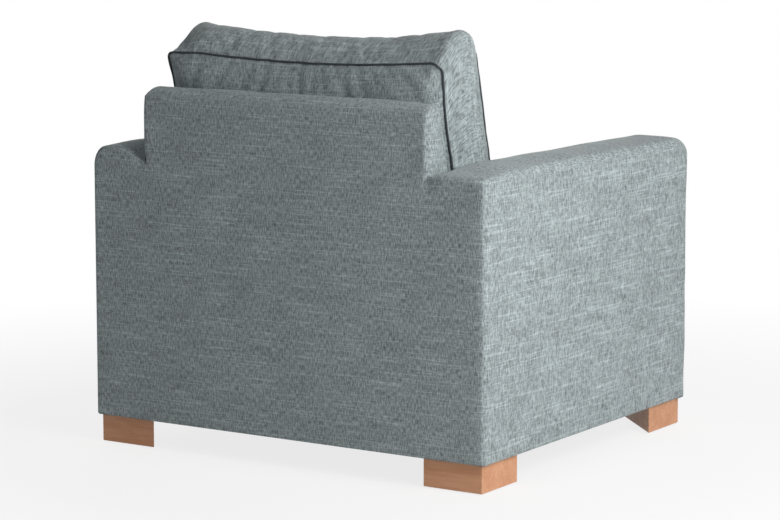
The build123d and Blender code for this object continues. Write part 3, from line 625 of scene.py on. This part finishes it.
def arm_rear_top(x, sitters_left):
    """Height of the arm's rear edge at x, with its rounded outer corner."""
    half = (ARM_OUTER - ARM_INNER) / 2
    centre = (x - ARM_INNER - half) / half
    z = ARM_EDGE - arm_drop(REAR, sitters_left)
    z = z + arm_crown(REAR, sitters_left) * (1 - centre ** 2)
    z = z - arm_tuck(x, np.full_like(x, REAR), sitters_left)
    reach, depth = arm_outer_edge(np.array(REAR), sitters_left)
    over = np.clip((x - (ARM_OUTER - reach)) / reach, 0, 1)
    return z - depth * (1 - np.sqrt(1 - over ** 2))


def outside_back():
    """One panel over the backrest's rear and both arms' rears, T-shaped upside down."""
    joint_z = float(arm_rear_top(np.array(ARM_INNER), True))
    # heights shared by the three parts, as shares of each column's own height
    low = spread(joint_z - HEM, 0.012, (0.0, 0.002, 0.004, 0.007), SEAM_STEPS)
    low_share = low / low[-1]
    inner_half = spread(BACK_HALF - SEAM_IN, 0.012, (0.0,), SEAM_STEPS)
    columns = np.concatenate([-inner_half[::-1], inner_half[1:]])
    # the middle, below and above the arms' tops
    corner = BACK_EDGE - SEAM_IN
    over = np.clip((np.abs(columns) - (BACK_HALF - corner)) / corner, 0, 0.9999)
    top = back_top(REAR - SEAM_IN) - SEAM_IN - corner * (1 - np.sqrt(1 - over ** 2))
    z_low = HEM + low_share[None, :] * (joint_z - HEM) + 0 * columns[:, None]
    rise = spread(1.0, 0.10, (0.0,), SEAM_STEPS / 0.14)
    z_high = joint_z + rise[None, :] * (top - joint_z)[:, None]
    z = np.concatenate([z_low, z_high[:, 1:]], 1)
    x = np.broadcast_to(columns[:, None], z.shape)
    panels = [(x, z)]
    width = ARM_OUTER - SEAM_IN
    edge_x = BACK_HALF - SEAM_IN
    for left in (True, False):
        reach = float(arm_outer_edge(np.array(REAR), left)[0])
        turn_start = width - (reach - SEAM_IN)
        turned = turn_start + (width - turn_start) * np.sin(arc_angles(12)[1:])
        flat = np.linspace(edge_x, turn_start, 12)
        c = np.concatenate([flat, turned])
        stretch = (c - edge_x) / (width - edge_x)
        true_x = ARM_INNER + (ARM_OUTER - ARM_INNER) * stretch
        top = arm_rear_top(true_x, left) - SEAM_IN * smooth((c - edge_x) / 0.02)
        z = HEM + low_share[None, :] * (top - HEM)[:, None]
        x = np.broadcast_to(c[:, None], z.shape)
        panels.append((x, z) if left else (-x[::-1], z[::-1]))
    # the seam, from the left arm's outer hem over the top to the right arm's
    count = len(low)
    (mid_x, mid_z), (left_x, left_z), (right_x, right_z) = panels
    stretches = [(left_x[-1], left_z[-1]), (left_x[::-1, -1], left_z[::-1, -1]),
                 (mid_x[-1, count:], mid_z[-1, count:]), (mid_x[::-1, -1], mid_z[::-1, -1]),
                 (mid_x[0, count:][::-1], mid_z[0, count:][::-1]),
                 (right_x[::-1, -1], right_z[::-1, -1]), (right_x[0, ::-1], right_z[0, ::-1])]
    outline = np.concatenate([np.stack(stretch, 1) for stretch in stretches])
    skin = Skin()
    for x, z in panels:
        d = line_distance(np.stack([x, z], -1), outline)
        t = np.clip(REAR_RADIUS - (d + SEAM_IN), 0, REAR_RADIUS)
        drop = REAR_RADIUS - np.sqrt(np.clip(REAR_RADIUS ** 2 - t ** 2, 0, None))
        points = np.stack([x, np.full_like(x, REAR), z], -1)
        wave = 0.0013 * field(points, 0.13, 7) + 0.0005 * field(points, 0.05, 8)
        dimple = 0.0
        for side in (-1, 1):
            away = np.hypot(x - side * (BACK_HALF + 0.004), z - joint_z)
            dimple = dimple + 0.0055 * np.exp(-(away / 0.013) ** 2)
        quiet = smooth((d - 0.004) / 0.03) * smooth((z - HEM) / 0.03)
        below = np.clip(HEM + HEM_TURN - z, 0, HEM_TURN)
        hem_turn = HEM_TURN - np.sqrt(HEM_TURN ** 2 - below ** 2)
        points[..., 1] += wave * quiet - drop - groove(d) - dimple - hem_turn
        points[..., 1] -= roll_in(points[..., 1], z)
        skin.add(points, np.stack([x, z], -1), True, 30.0)
    # the hem turns under, and the seam's allowance turns in
    for x, z in panels:
        base = np.stack([x[:, 0], np.full(len(x), REAR - 0.0052), np.full(len(x), HEM)], -1)
        inner = base.copy()
        inner[:, 1] -= HEM_WIDTH
        skin.add(np.stack([base, inner]), np.stack([base[:, [0, 1]], inner[:, [0, 1]]]),
                 True, 30.0)
    return skin.build("outside_back_upholstery", upholstery, 2e-4)


def line_distance(points, line):
    """Distance of 2-D points from an open polyline."""
    flat = points.reshape(-1, 2)
    a, b = line[:-1], line[1:]
    step = b - a
    size = np.maximum((step ** 2).sum(1), 1e-12)
    best = np.full(len(flat), 1e9)
    for start, s, n in zip(a, step, size):
        t = np.clip(((flat - start) @ s) / n, 0, 1)
        gap = flat - start - t[:, None] * s
        best = np.minimum(best, (gap ** 2).sum(1))
    return np.sqrt(best).reshape(points.shape[:-1])


fixed_padding(outside_back(), "outside_back_cover", "outside_back_wadding")


# ---------------------------------------------------------------- front rail and seat deck
def front_rail():
    radius = 0.014
    top = RAIL_HI.z
    front = RAIL_LO.y
    turn = bend(front + radius, top - radius, radius, radius, arc_angles(9))
    down = np.linspace(top - radius, HEM + HEM_TURN, 24)[1:]
    face = np.stack([np.full(len(down), front), down], 1)
    hem = [(front + HEM_TURN * (1 - math.cos(a)), HEM + HEM_TURN * (1 - math.sin(a)))
           for a in np.radians([30, 60, 90])] + [(front + HEM_TURN + HEM_WIDTH, HEM)]
    rear = np.stack([np.linspace(RAIL_HI.y, front + radius, 5)[:-1], np.full(4, top)], 1)
    profile = np.concatenate([rear, turn, face, hem])
    half = RAIL_HI.x
    inside = half - SEAM_STEPS[-1]
    x = np.concatenate([-half + SEAM_STEPS, np.linspace(-inside, inside, 60)[1:-1],
                        half - SEAM_STEPS[::-1]])
    grid = np.stack(np.broadcast_arrays(x[None], profile[:, :1], profile[:, 1:]), -1)
    edge = half - np.abs(grid[..., 0])
    normals = np.insert(outward(profile), 0, 0, axis=1)[:, None]
    swell = 0.003 * smooth(edge / 0.05) * smooth((grid[..., 2] - HEM) / 0.05)
    wave = 0.0010 * field(grid, 0.09, 9) * smooth(edge / 0.03)
    wave = wave * smooth((grid[..., 2] - HEM) / 0.04)
    sink = 0.006 * np.exp(-(edge / 0.005) ** 2)
    grid += normals * (swell + wave - sink)[..., None]
    run = run_along(profile)[:, None]
    cloth = np.stack([grid[..., 0], np.broadcast_to(run, grid.shape[:2])], -1)
    skin = Skin()
    skin.add(grid, cloth, False, 40.0)
    return skin.build("front_rail_upholstery", upholstery)


fixed_padding(front_rail(), "front_rail_cover", "front_rail_padding")


def flat_cloth(name, x0, x1, y0, y1, z, rise, size, seed, step=0.014, up=True):
    """A stretched panel with slight hollows between its fixings."""
    x = np.linspace(x0, x1, max(2, round((x1 - x0) / step)))
    y = np.linspace(y0, y1, max(2, round((y1 - y0) / step)))
    grid = np.stack(np.meshgrid(x, y, indexing="ij") + [np.full((len(x), len(y)), z)], -1)
    edge = np.minimum(np.minimum(grid[..., 0] - x0, x1 - grid[..., 0]),
                      np.minimum(grid[..., 1] - y0, y1 - grid[..., 1]))
    grid[..., 2] += rise * field(grid, size, seed) * smooth(edge / 0.04)
    skin = Skin()
    skin.add(grid, grid[..., :2].copy(), not up, float(seed))
    return skin.build(name, lining)


deck = flat_cloth("seat_deck", DECK_LO.x, DECK_HI.x, DECK_LO.y, DECK_HI.y, DECK_HI.z - 0.0005,
                  0.0004, 0.08, 11)
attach(deck, "frame")
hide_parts("seat_deck_cloth")
under_lo, under_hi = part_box("dust_cover")
under = flat_cloth("underside_lining", under_lo.x, under_hi.x, under_lo.y, under_hi.y,
                   under_hi.z - 0.0005, 0.0004, 0.09, 12, up=False)
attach(under, "frame")
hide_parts("dust_cover")


# ---------------------------------------------------------------- cushions
class BoxCushion:
    """A cushion of two panels and a boxing between them, piped along both seams.

    corner holds the radii of its corners at either side. Its own coordinates run across,
    along (0 to 1) and through (0 to 1, from seam to seam)."""

    def __init__(self, half, length, thickness, corner, step, rows):
        count_u = round(2 * half / step)
        count_v = round(length / step)
        u = np.linspace(-half, half, count_u + 1)
        v = np.linspace(-length / 2, length / 2, count_v + 1)
        grid_u, grid_v = np.meshgrid(u, v, indexing="ij")
        corner = np.where(grid_u < 0, corner[0], corner[1])
        over_u = np.clip((np.abs(grid_u) - (half - corner)) / corner, 0, None)
        over_v = np.clip((np.abs(grid_v) - (length / 2 - corner)) / corner, 0, None)
        pull_u = over_u * (np.sqrt(1 - over_v ** 2 / 2) - 1) * corner
        pull_v = over_v * (np.sqrt(1 - over_u ** 2 / 2) - 1) * corner
        u = grid_u + np.sign(grid_u) * pull_u
        v = grid_v + np.sign(grid_v) * pull_v
        nu, nv = u.shape
        ring = ([(i, 0) for i in range(nu - 1)] + [(nu - 1, j) for j in range(nv - 1)]
                + [(i, nv - 1) for i in range(nu - 1, 0, -1)] + [(0, j) for j in range(nv - 1, 0, -1)])
        ring = np.array([i * nv + j for i, j in ring])
        size = nu * nv
        index = np.arange(size).reshape(nu, nv)
        low = np.stack([index[:-1, :-1], index[:-1, 1:], index[1:, 1:], index[1:, :-1]], -1)
        low = low.reshape(-1, 4)
        loops = [ring]
        for row in range(rows - 1):
            loops.append(np.arange(len(ring)) + 2 * size + row * len(ring))
        loops.append(ring + size)
        sides = [np.stack([a, np.roll(a, -1), np.roll(b, -1), b], -1)
                 for a, b in zip(loops[:-1], loops[1:])]
        self.faces = np.concatenate([low, low[:, ::-1] + size] + sides)
        self.loops = loops
        flat = np.stack([u.ravel(), v.ravel()], -1)
        rim = flat[ring]
        count = 2 * size + (rows - 1) * len(ring)
        self.across, self.along, self.through = np.zeros((3, count))
        self.part = np.full(count, 2)               # 0 and 1 are the panels, 2 the boxing
        for end in (0, 1):
            here = slice(end * size, (end + 1) * size)
            self.across[here] = flat[:, 0]
            self.along[here] = flat[:, 1] / length + 0.5
            self.through[here] = end
            self.part[here] = end
        for row, loop in enumerate(loops[1:-1], 1):
            self.across[loop] = rim[:, 0]
            self.along[loop] = rim[:, 1] / length + 0.5
            self.through[loop] = row / rows
        # the cloth's coordinates at each face corner, panel by panel
        flat_cloth = np.stack([self.across, self.along * length], -1)
        weave = np.zeros((len(self.faces), 4, 3))
        panel = len(low)
        weave[:2 * panel, :, :2] = flat_cloth[self.faces[:2 * panel]]
        weave[panel:2 * panel, :, 2] = 1
        run = np.linalg.norm(np.roll(rim, -1, 0) - rim, axis=1)
        start = np.concatenate([[0], np.cumsum(run)[:-1]])
        self.girth = np.zeros(count)
        for loop in loops[1:-1]:
            self.girth[loop] = start
        self.length = run.sum()
        near = np.tile(start, rows)
        far = np.tile(start + run, rows)
        low_w = np.repeat(np.arange(rows), len(ring)) * thickness / rows
        high_w = low_w + thickness / rows
        sides = np.stack([np.stack([near, low_w], -1), np.stack([far, low_w], -1),
                          np.stack([far, high_w], -1), np.stack([near, high_w], -1)], 1)
        weave[2 * panel:, :, :2] = sides
        weave[2 * panel:, :, 2] = 2
        self.weave = weave.reshape(-1, 3)


def crown(inward, reach):
    """Share of a crown's height at a distance in from the seams."""
    return 1 - (1 - np.clip(inward / reach, 0, 1)) ** 2


def nearest(*distances):
    """The least of some distances, rounded where two are alike."""
    total = sum(np.maximum(d, 1e-4) ** -4.0 for d in distances)
    return total ** -0.25


def vertices(piece):
    flat = np.empty(3 * len(piece.data.vertices))
    piece.data.vertices.foreach_get("co", flat)
    return flat.reshape(-1, 3)


def set_vertices(piece, points):
    piece.data.vertices.foreach_set("co", points.ravel())
    piece.data.update()


def puff(piece, pinned, pressure, excess, cap, frames=20):
    """A short cloth simulation that fills a cushion, with its seams held."""
    rest = vertices(piece)
    group = piece.vertex_groups.new(name="seams")
    group.add([int(i) for i in pinned], 1.0, "REPLACE")
    cloth = piece.modifiers.new("fill", "CLOTH")
    settings = cloth.settings
    settings.quality = 5
    settings.mass = 0.25
    settings.tension_stiffness = 18
    settings.compression_stiffness = 12
    settings.shear_stiffness = 6
    settings.bending_stiffness = 0.35
    settings.use_pressure = True
    settings.uniform_pressure_force = pressure
    settings.vertex_group_mass = "seams"
    settings.shrink_min = -excess
    settings.effector_weights.gravity = 0
    cloth.collision_settings.use_collision = False
    scene = bpy.context.scene
    for number in range(1, frames + 1):
        scene.frame_set(number)
    shaped = piece.evaluated_get(bpy.context.evaluated_depsgraph_get())
    moved = np.array([v.co for v in shaped.data.vertices])
    piece.modifiers.remove(cloth)
    piece.vertex_groups.remove(group)
    scene.frame_set(1)
    shift = moved - rest
    size = np.linalg.norm(shift, axis=1)[:, None]
    # a soft limit, so that the fullest part stays round
    set_vertices(piece, rest + shift * cap * np.tanh(size / cap) / np.maximum(size, 1e-9))


def subdivide(piece):
    modifier = piece.modifiers.new("smooth", "SUBSURF")
    modifier.levels = modifier.render_levels = 1
    graph = bpy.context.evaluated_depsgraph_get()
    mesh = bpy.data.meshes.new_from_object(piece.evaluated_get(graph))
    piece.modifiers.remove(modifier)
    old = piece.data
    piece.data = mesh
    bpy.data.meshes.remove(old)
    mesh.name = piece.name


def rounded(loop, times=2):
    """A closed line with its corners cut off, again and again."""
    for _ in range(times):
        after = np.roll(loop, -1, 0)
        loop = np.stack([0.75 * loop + 0.25 * after, 0.25 * loop + 0.75 * after], 1)
        loop = loop.reshape(-1, 3)
    return loop


def tube(name, loop, radius, material, sides=10):
    """A closed round cord along a loop of points."""
    count = len(loop)
    ahead = np.roll(loop, -1, 0) - np.roll(loop, 1, 0)
    ahead /= np.linalg.norm(ahead, axis=1)[:, None]
    centre = loop.mean(0)
    out = loop - centre
    out -= ahead * (out * ahead).sum(1)[:, None]
    out /= np.linalg.norm(out, axis=1)[:, None]
    up = np.cross(ahead, out)
    angle = np.linspace(0, 2 * math.pi, sides, endpoint=False)
    ring = (out[:, None] * np.cos(angle)[None, :, None] + up[:, None] * np.sin(angle)[None, :, None])
    points = (loop[:, None] + radius * ring).reshape(-1, 3)
    index = np.arange(count * sides).reshape(count, sides)
    after = np.roll(index, -1, 0)
    faces = np.stack([index, np.roll(index, -1, 1), np.roll(after, -1, 1), after], -1).reshape(-1, 4)
    run = np.linalg.norm(np.roll(loop, -1, 0) - loop, axis=1)
    along = np.concatenate([[0], np.cumsum(run)])
    arc = angle[1] * radius
    a = np.broadcast_to(along[:-1, None], (count, sides))
    b = np.broadcast_to(along[1:, None], (count, sides))
    s = np.broadcast_to(np.arange(sides)[None] * arc, (count, sides))
    corner = [np.stack([x, y, 0 * x], -1) for x, y in
              ((s, a), (s + arc, a), (s + arc, b), (s, b))]
    weave = np.stack(corner, 2).reshape(-1, 3)
    return make_mesh(name, points, faces, weave, material)


# the back cushion leans on the backrest: across, up the lean, and forwards from it
LEVEL = math.tan(LEAN)
ACROSS = np.array([1.0, 0.0, 0.0])
ALONG = np.array([0.0, math.sin(LEAN), math.cos(LEAN)])
THROUGH = np.array([0.0, -math.cos(LEAN), math.sin(LEAN)])
BACK_GAP = 0.0034 / math.cos(LEAN)
BACK_ORIGIN = np.array([0.0, back_skin(CUSHION_LO.z) - BACK_GAP, CUSHION_LO.z])
BACK_SEAM = BACK_HALF - 0.014           # half width at the seams
BACK_FULL = BACK_HALF - 0.005           # and where the boxing is fullest
REAR_SEAM, FRONT_SEAM = 0.030, 0.163    # forward of the flat of the rear panel
SHOULDER = 0.368
BACK_RISE = 0.024
BACK_DIP = 0.05


def gathers(along, distance, length, count, seed, height=0.0011):
    """Short pulls that run in from a seam, at random places along it."""
    random = np.random.default_rng(seed)
    total = np.zeros(len(along))
    for _ in range(count):
        place = random.uniform(0, length)
        width = random.uniform(0.006, 0.014)
        reach = random.uniform(0.012, 0.050)
        lean = random.uniform(-0.5, 0.5)
        off = (along - place - lean * distance + length / 2) % length - length / 2
        total += random.uniform(-1, 0.7) * np.exp(-(off / width) ** 2) * np.exp(-distance / reach)
    return height * total


def back_folds(c, points):
    """Pulls from the seams, and soft diagonal creases across the boxing."""
    local = points - BACK_ORIGIN
    u, v = local @ ACROSS, local @ ALONG
    thick = FRONT_SEAM - REAR_SEAM
    out = np.stack([u / BACK_SEAM, (v / SHOULDER - 0.5) * 2], -1)
    out = np.where(np.abs(out) > 0.93, out, 0)
    out /= np.maximum(np.linalg.norm(out, axis=1), 1e-6)[:, None]
    out = out[:, :1] * ACROSS + out[:, 1:] * ALONG
    rear, front = c.through * thick, (1 - c.through) * thick
    boxing = gathers(c.girth, rear, c.length, 90, 41) + gathers(c.girth, front, c.length, 90, 42)
    slant = c.girth + 0.8 * rear
    boxing += 0.0016 * np.sin(slant * 150 + 2 * field(points, 0.2, 43)) * c.through * (1 - c.through)
    panel = gathers(u, SHOULDER - v, 2 * BACK_SEAM, 60, 44, 0.0016)
    panel += gathers(v, BACK_SEAM - np.abs(u), SHOULDER, 30, 45)
    lift = np.where(c.part == 2, 0, panel * np.where(c.part == 0, -1, 1))
    return (lift[:, None] * THROUGH + np.where(c.part == 2, boxing, 0)[:, None] * out)


def back_cushion():
    c = BoxCushion(BACK_SEAM, SHOULDER, FRONT_SEAM - REAR_SEAM, (0.024, 0.014), 0.008, 15)
    share = c.across / BACK_SEAM
    ear = np.exp(-(np.hypot(1 - np.abs(share), 1 - c.along) / 0.16) ** 2)
    flare = ear * np.where(share > 0, 0.004 - 0.017 * c.through, 0.003 - 0.008 * c.through)
    shift = ear * np.where(share > 0, 0.012 * c.through - 0.008, -0.011 * c.through)
    pinch = ear * np.where(share > 0, 1 - c.through ** 1.5, 0.0)
    swell = np.where(c.part == 2, (1 - np.abs(2 * c.through - 1) ** 2.5) * (1 - pinch), 0)
    w = REAR_SEAM + (FRONT_SEAM - REAR_SEAM) * c.through
    tall = 4 * c.along * (1 - c.along)
    half = BACK_SEAM + (BACK_FULL - BACK_SEAM + np.where(share > 0, 0, 0.012) * ear) * swell
    horn = np.where(share > 0, 0.011 * share ** 3, 0.027 * share ** 4)
    high = SHOULDER + (BACK_RISE + horn) * swell + shift
    high = high - BACK_DIP * half * (1 - share ** 2)
    low = -w * LEVEL
    v = low + (high - low) * c.along
    u = half * share
    pull = 0.005 + 0.004 * c.through
    u = u * (1 - pull / half * tall * (1 - 0.7 * swell) * np.abs(share))
    u = u + flare * np.sign(share)
    inward = nearest(half - np.abs(u), v - low, high - v)
    w = w - np.where(c.part == 0, REAR_SEAM * crown(inward, 0.080), 0)
    w = w + np.where(c.part == 1, 0.021 * crown(inward, 0.110), 0)
    world = (BACK_ORIGIN + u[:, None] * ACROSS + v[:, None] * ALONG + w[:, None] * THROUGH)
    piece = make_mesh("back_cushion", world, c.faces, c.weave, upholstery)
    seams = np.concatenate([c.loops[0], c.loops[-1]])
    puff(piece, seams, 3.0, 0.02, 0.010)
    settled = vertices(piece)
    settled += back_folds(c, settled)
    w = (settled - BACK_ORIGIN) @ THROUGH
    # flat where it rests: on the backrest behind it and on the seat cushion below
    push = np.clip(-0.0022 - w, 0, None) * smooth((BACK_TOP + 0.03 - settled[:, 2]) / 0.03)
    settled += push[:, None] * THROUGH
    settled[:, 2] = np.maximum(settled[:, 2], CUSHION_LO.z)
    side = BACK_HALF - 0.0035 + 0.015 * smooth((settled[:, 2] - 0.66) / 0.12)
    settled[:, 0] = np.clip(settled[:, 0], -side, side)
    set_vertices(piece, settled)
    loops = [settled[c.loops[0]], settled[c.loops[-1]]]
    subdivide(piece)
    return piece, loops


SEAT_SEAM = BACK_HALF - 0.011
SEAT_FULL = BACK_HALF - 0.005
SEAT_FRONT_SEAM = FRONT + 0.0095
SEAT_CROWN = 0.015
SEAT_TOP = SEAT_HI.z - SEAT_CROWN       # height of its upper seam


def seat_cushion():
    low, high = SEAT_LO.z, SEAT_TOP
    rear = SEAT_HI.y
    length = rear - SEAT_FRONT_SEAM
    c = BoxCushion(SEAT_SEAM, length, high - low, (0.030, 0.030), 0.010, 15)
    swell = np.where(c.part == 2, 4 * c.through * (1 - c.through), 0)
    half = SEAT_SEAM + (SEAT_FULL - SEAT_SEAM) * swell
    share = c.across / SEAT_SEAM
    long = 4 * c.along * (1 - c.along)
    x = half * share * (1 - 0.004 / half * long * (1 - swell) * np.abs(share))
    front = SEAT_FRONT_SEAM - 0.009 * swell
    front = front + 0.003 * (1 - share ** 2) * (1 - swell)
    y = front + (rear - front) * c.along
    z = low + (high - low) * c.through
    inward = nearest(half - np.abs(x), y - front, rear + 0.02 - y)
    z = z + np.where(c.part == 1, (SEAT_CROWN - 0.002) * crown(inward, 0.130), 0)
    piece = make_mesh("seat_cushion", np.stack([x, y, z], -1), c.faces, c.weave, upholstery)
    seams = np.concatenate([c.loops[0], c.loops[-1]])
    puff(piece, seams, 3.0, 0.015, 0.008)
    settled = vertices(piece)
    settled[:, 2] = np.maximum(settled[:, 2], low - 0.0012)
    side = BACK_HALF - 0.0035
    settled[:, 0] = np.clip(settled[:, 0], -side, side)
    settled[:, 1] = np.minimum(settled[:, 1], rear + 0.0002)
    # the back cushion presses it flat at the back
    limit = SEAT_TOP + 0.0017 + 0.15 * np.clip(0.086 - settled[:, 1], 0, None)
    settled[:, 2] = np.minimum(settled[:, 2], limit)
    set_vertices(piece, settled)
    loops = [settled[c.loops[0]], settled[c.loops[-1]]]
    subdivide(piece)
    return piece, loops


def finish_cushion(piece, loops, body, prefix):
    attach(piece, body)
    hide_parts(prefix + "_cover", prefix + "_wadding", prefix + "_core")
    for number, loop in enumerate(loops):
        # the cords carry the near-black piping colour, which is painted shade of the seams' grooves
        cord = tube(prefix + ("_piping_rear", "_piping_front")[number], rounded(loop),
                    PIPING_RADIUS - 0.0003 * number, piping_painted_shade)
        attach(cord, body)
        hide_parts(prefix + "_piping")


piece, loops = seat_cushion()
finish_cushion(piece, loops, "seat_cushion", "seat_cushion")
piece, loops = back_cushion()
finish_cushion(piece, loops, "back_cushion", "back_cushion")


# ---------------------------------------------------------------- feet
def foot(name, node):
    """A triangular corner block with eased edges, its grain along X."""
    lo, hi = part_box(node)
    outer_x, inner_x = (hi.x, lo.x) if hi.x > 0 else (lo.x, hi.x)
    outer_y, inner_y = (hi.y, lo.y) if hi.y > 0 else (lo.y, hi.y)
    outline = [(outer_x, outer_y), (inner_x, outer_y), (outer_x, inner_y)]
    work = bmesh.new()
    low = [work.verts.new((*p, lo.z)) for p in outline]
    high = [work.verts.new((*p, hi.z)) for p in outline]
    work.faces.new(low[::-1])
    work.faces.new(high)
    for i in range(3):
        j = (i + 1) % 3
        work.faces.new([low[i], low[j], high[j], high[i]])
    bmesh.ops.recalc_face_normals(work, faces=work.faces)
    bmesh.ops.bevel(work, geom=list(work.edges), offset=0.0016, segments=3, profile=0.6,
                    affect="EDGES")
    mesh = bpy.data.meshes.new(name)
    work.to_mesh(mesh)
    work.free()
    mesh.materials.append(beech)
    piece = bpy.data.objects.new(name, mesh)
    bpy.context.scene.collection.objects.link(piece)
    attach(piece, "frame")
    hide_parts(node)


for node in ("front_left_foot", "front_right_foot", "rear_left_foot", "rear_right_foot"):
    foot(node + "_block", node)

# ---------------------------------------------------------------- stage
WHITE_FROM = 0.8        # the floor fades to plain white between these distances
WHITE_BY = 1.9


def seen_directly(tree):
    """1 where the camera sees a thing, straight or by a mirror or glass, and 0 elsewhere."""
    path = tree.nodes.new("ShaderNodeLightPath")
    total = path.outputs["Is Camera Ray"]
    for name in ("Is Glossy Ray", "Is Transmission Ray"):
        larger = tree.nodes.new("ShaderNodeMath")
        larger.operation = "MAXIMUM"
        tree.links.new(total, larger.inputs[0])
        tree.links.new(path.outputs[name], larger.inputs[1])
        total = larger.outputs[0]
    return total


def floor_material():
    g = Graph("pale_floor")
    place = g.node("TexCoord").outputs["Object"]
    distance = g.node("VectorMath", place, operation="LENGTH").outputs["Value"]
    speckle = g.noise(place, (900.0, 900.0, 900.0), 2.0)
    grey = g.ramp(speckle, 0.3, 0.7, 0.985, 1.0)
    g.set(Base_Color=g.tint((0.86, 0.86, 0.86), grey), Roughness=0.9)
    white = g.node("Emission", (1.0, 1.0, 1.0, 1.0), 1.0)
    away = g.ramp(distance, WHITE_FROM, WHITE_BY, 0.80, 1.0)
    share = g.maths("MULTIPLY", away, seen_directly(g.tree))
    mixed = g.node("MixShader", share, g.shader.outputs[0], white.outputs[0])
    g.plug(g.output.inputs["Surface"], mixed.outputs[0])
    return g.material


floor_mesh = bpy.data.meshes.new("floor")
reach = 14.0
floor_mesh.from_pydata([(-reach, -reach, 0), (reach, -reach, 0), (reach, reach, 0),
                        (-reach, reach, 0)], [], [(0, 1, 2, 3)])
floor_mesh.materials.append(floor_material())
floor = bpy.data.objects.new("floor", floor_mesh)
bpy.context.scene.collection.objects.link(floor)

world = bpy.data.worlds.new("studio")
bpy.context.scene.world = world
world.use_nodes = True
tree = world.node_tree
background = tree.nodes["Background"]
background.inputs["Color"].default_value = (0.98, 0.99, 1.0, 1.0)
background.inputs["Strength"].default_value = 0.18
white = tree.nodes.new("ShaderNodeBackground")
white.inputs["Strength"].default_value = 1.0
mix = tree.nodes.new("ShaderNodeMixShader")
tree.links.new(seen_directly(tree), mix.inputs[0])
tree.links.new(background.outputs[0], mix.inputs[1])
tree.links.new(white.outputs[0], mix.inputs[2])
tree.links.new(mix.outputs[0], tree.nodes["World Output"].inputs["Surface"])


def lamp(name, place, aim, width, height, power, colour=(1.0, 1.0, 1.0)):
    data = bpy.data.lights.new(name, "AREA")
    data.shape = "RECTANGLE"
    data.size, data.size_y = width, height
    data.energy = power
    data.color = colour
    made = bpy.data.objects.new(name, data)
    made.location = place
    made.rotation_euler = (Vector(aim) - Vector(place)).to_track_quat("-Z", "Y").to_euler()
    bpy.context.scene.collection.objects.link(made)


lamp("key", (-2.4, 0.80, 1.6), (-0.4, 0.2, 0.4), 1.6, 1.6, 55, (1.0, 0.985, 0.975))
lamp("top", (-0.6, -2.2, 2.6), (0.0, 0.0, 0.3), 2.0, 2.0, 6)
lamp("fill", (2.2, -2.8, 0.9), (0.0, 0.0, 0.4), 1.8, 1.4, 45)

camera = bpy.data.objects.new("camera", bpy.data.cameras.new("camera"))
camera.data.lens = 138.46
camera.data.sensor_width = 36.0
camera.location = (-3.286, 5.104, 1.282)
camera.rotation_euler = Vector((0.53648, -0.83044, -0.15020)).to_track_quat("-Z", "Y").to_euler()
bpy.context.scene.collection.objects.link(camera)
bpy.context.scene.camera = camera
bpy.context.scene.view_settings.view_transform = "Standard"
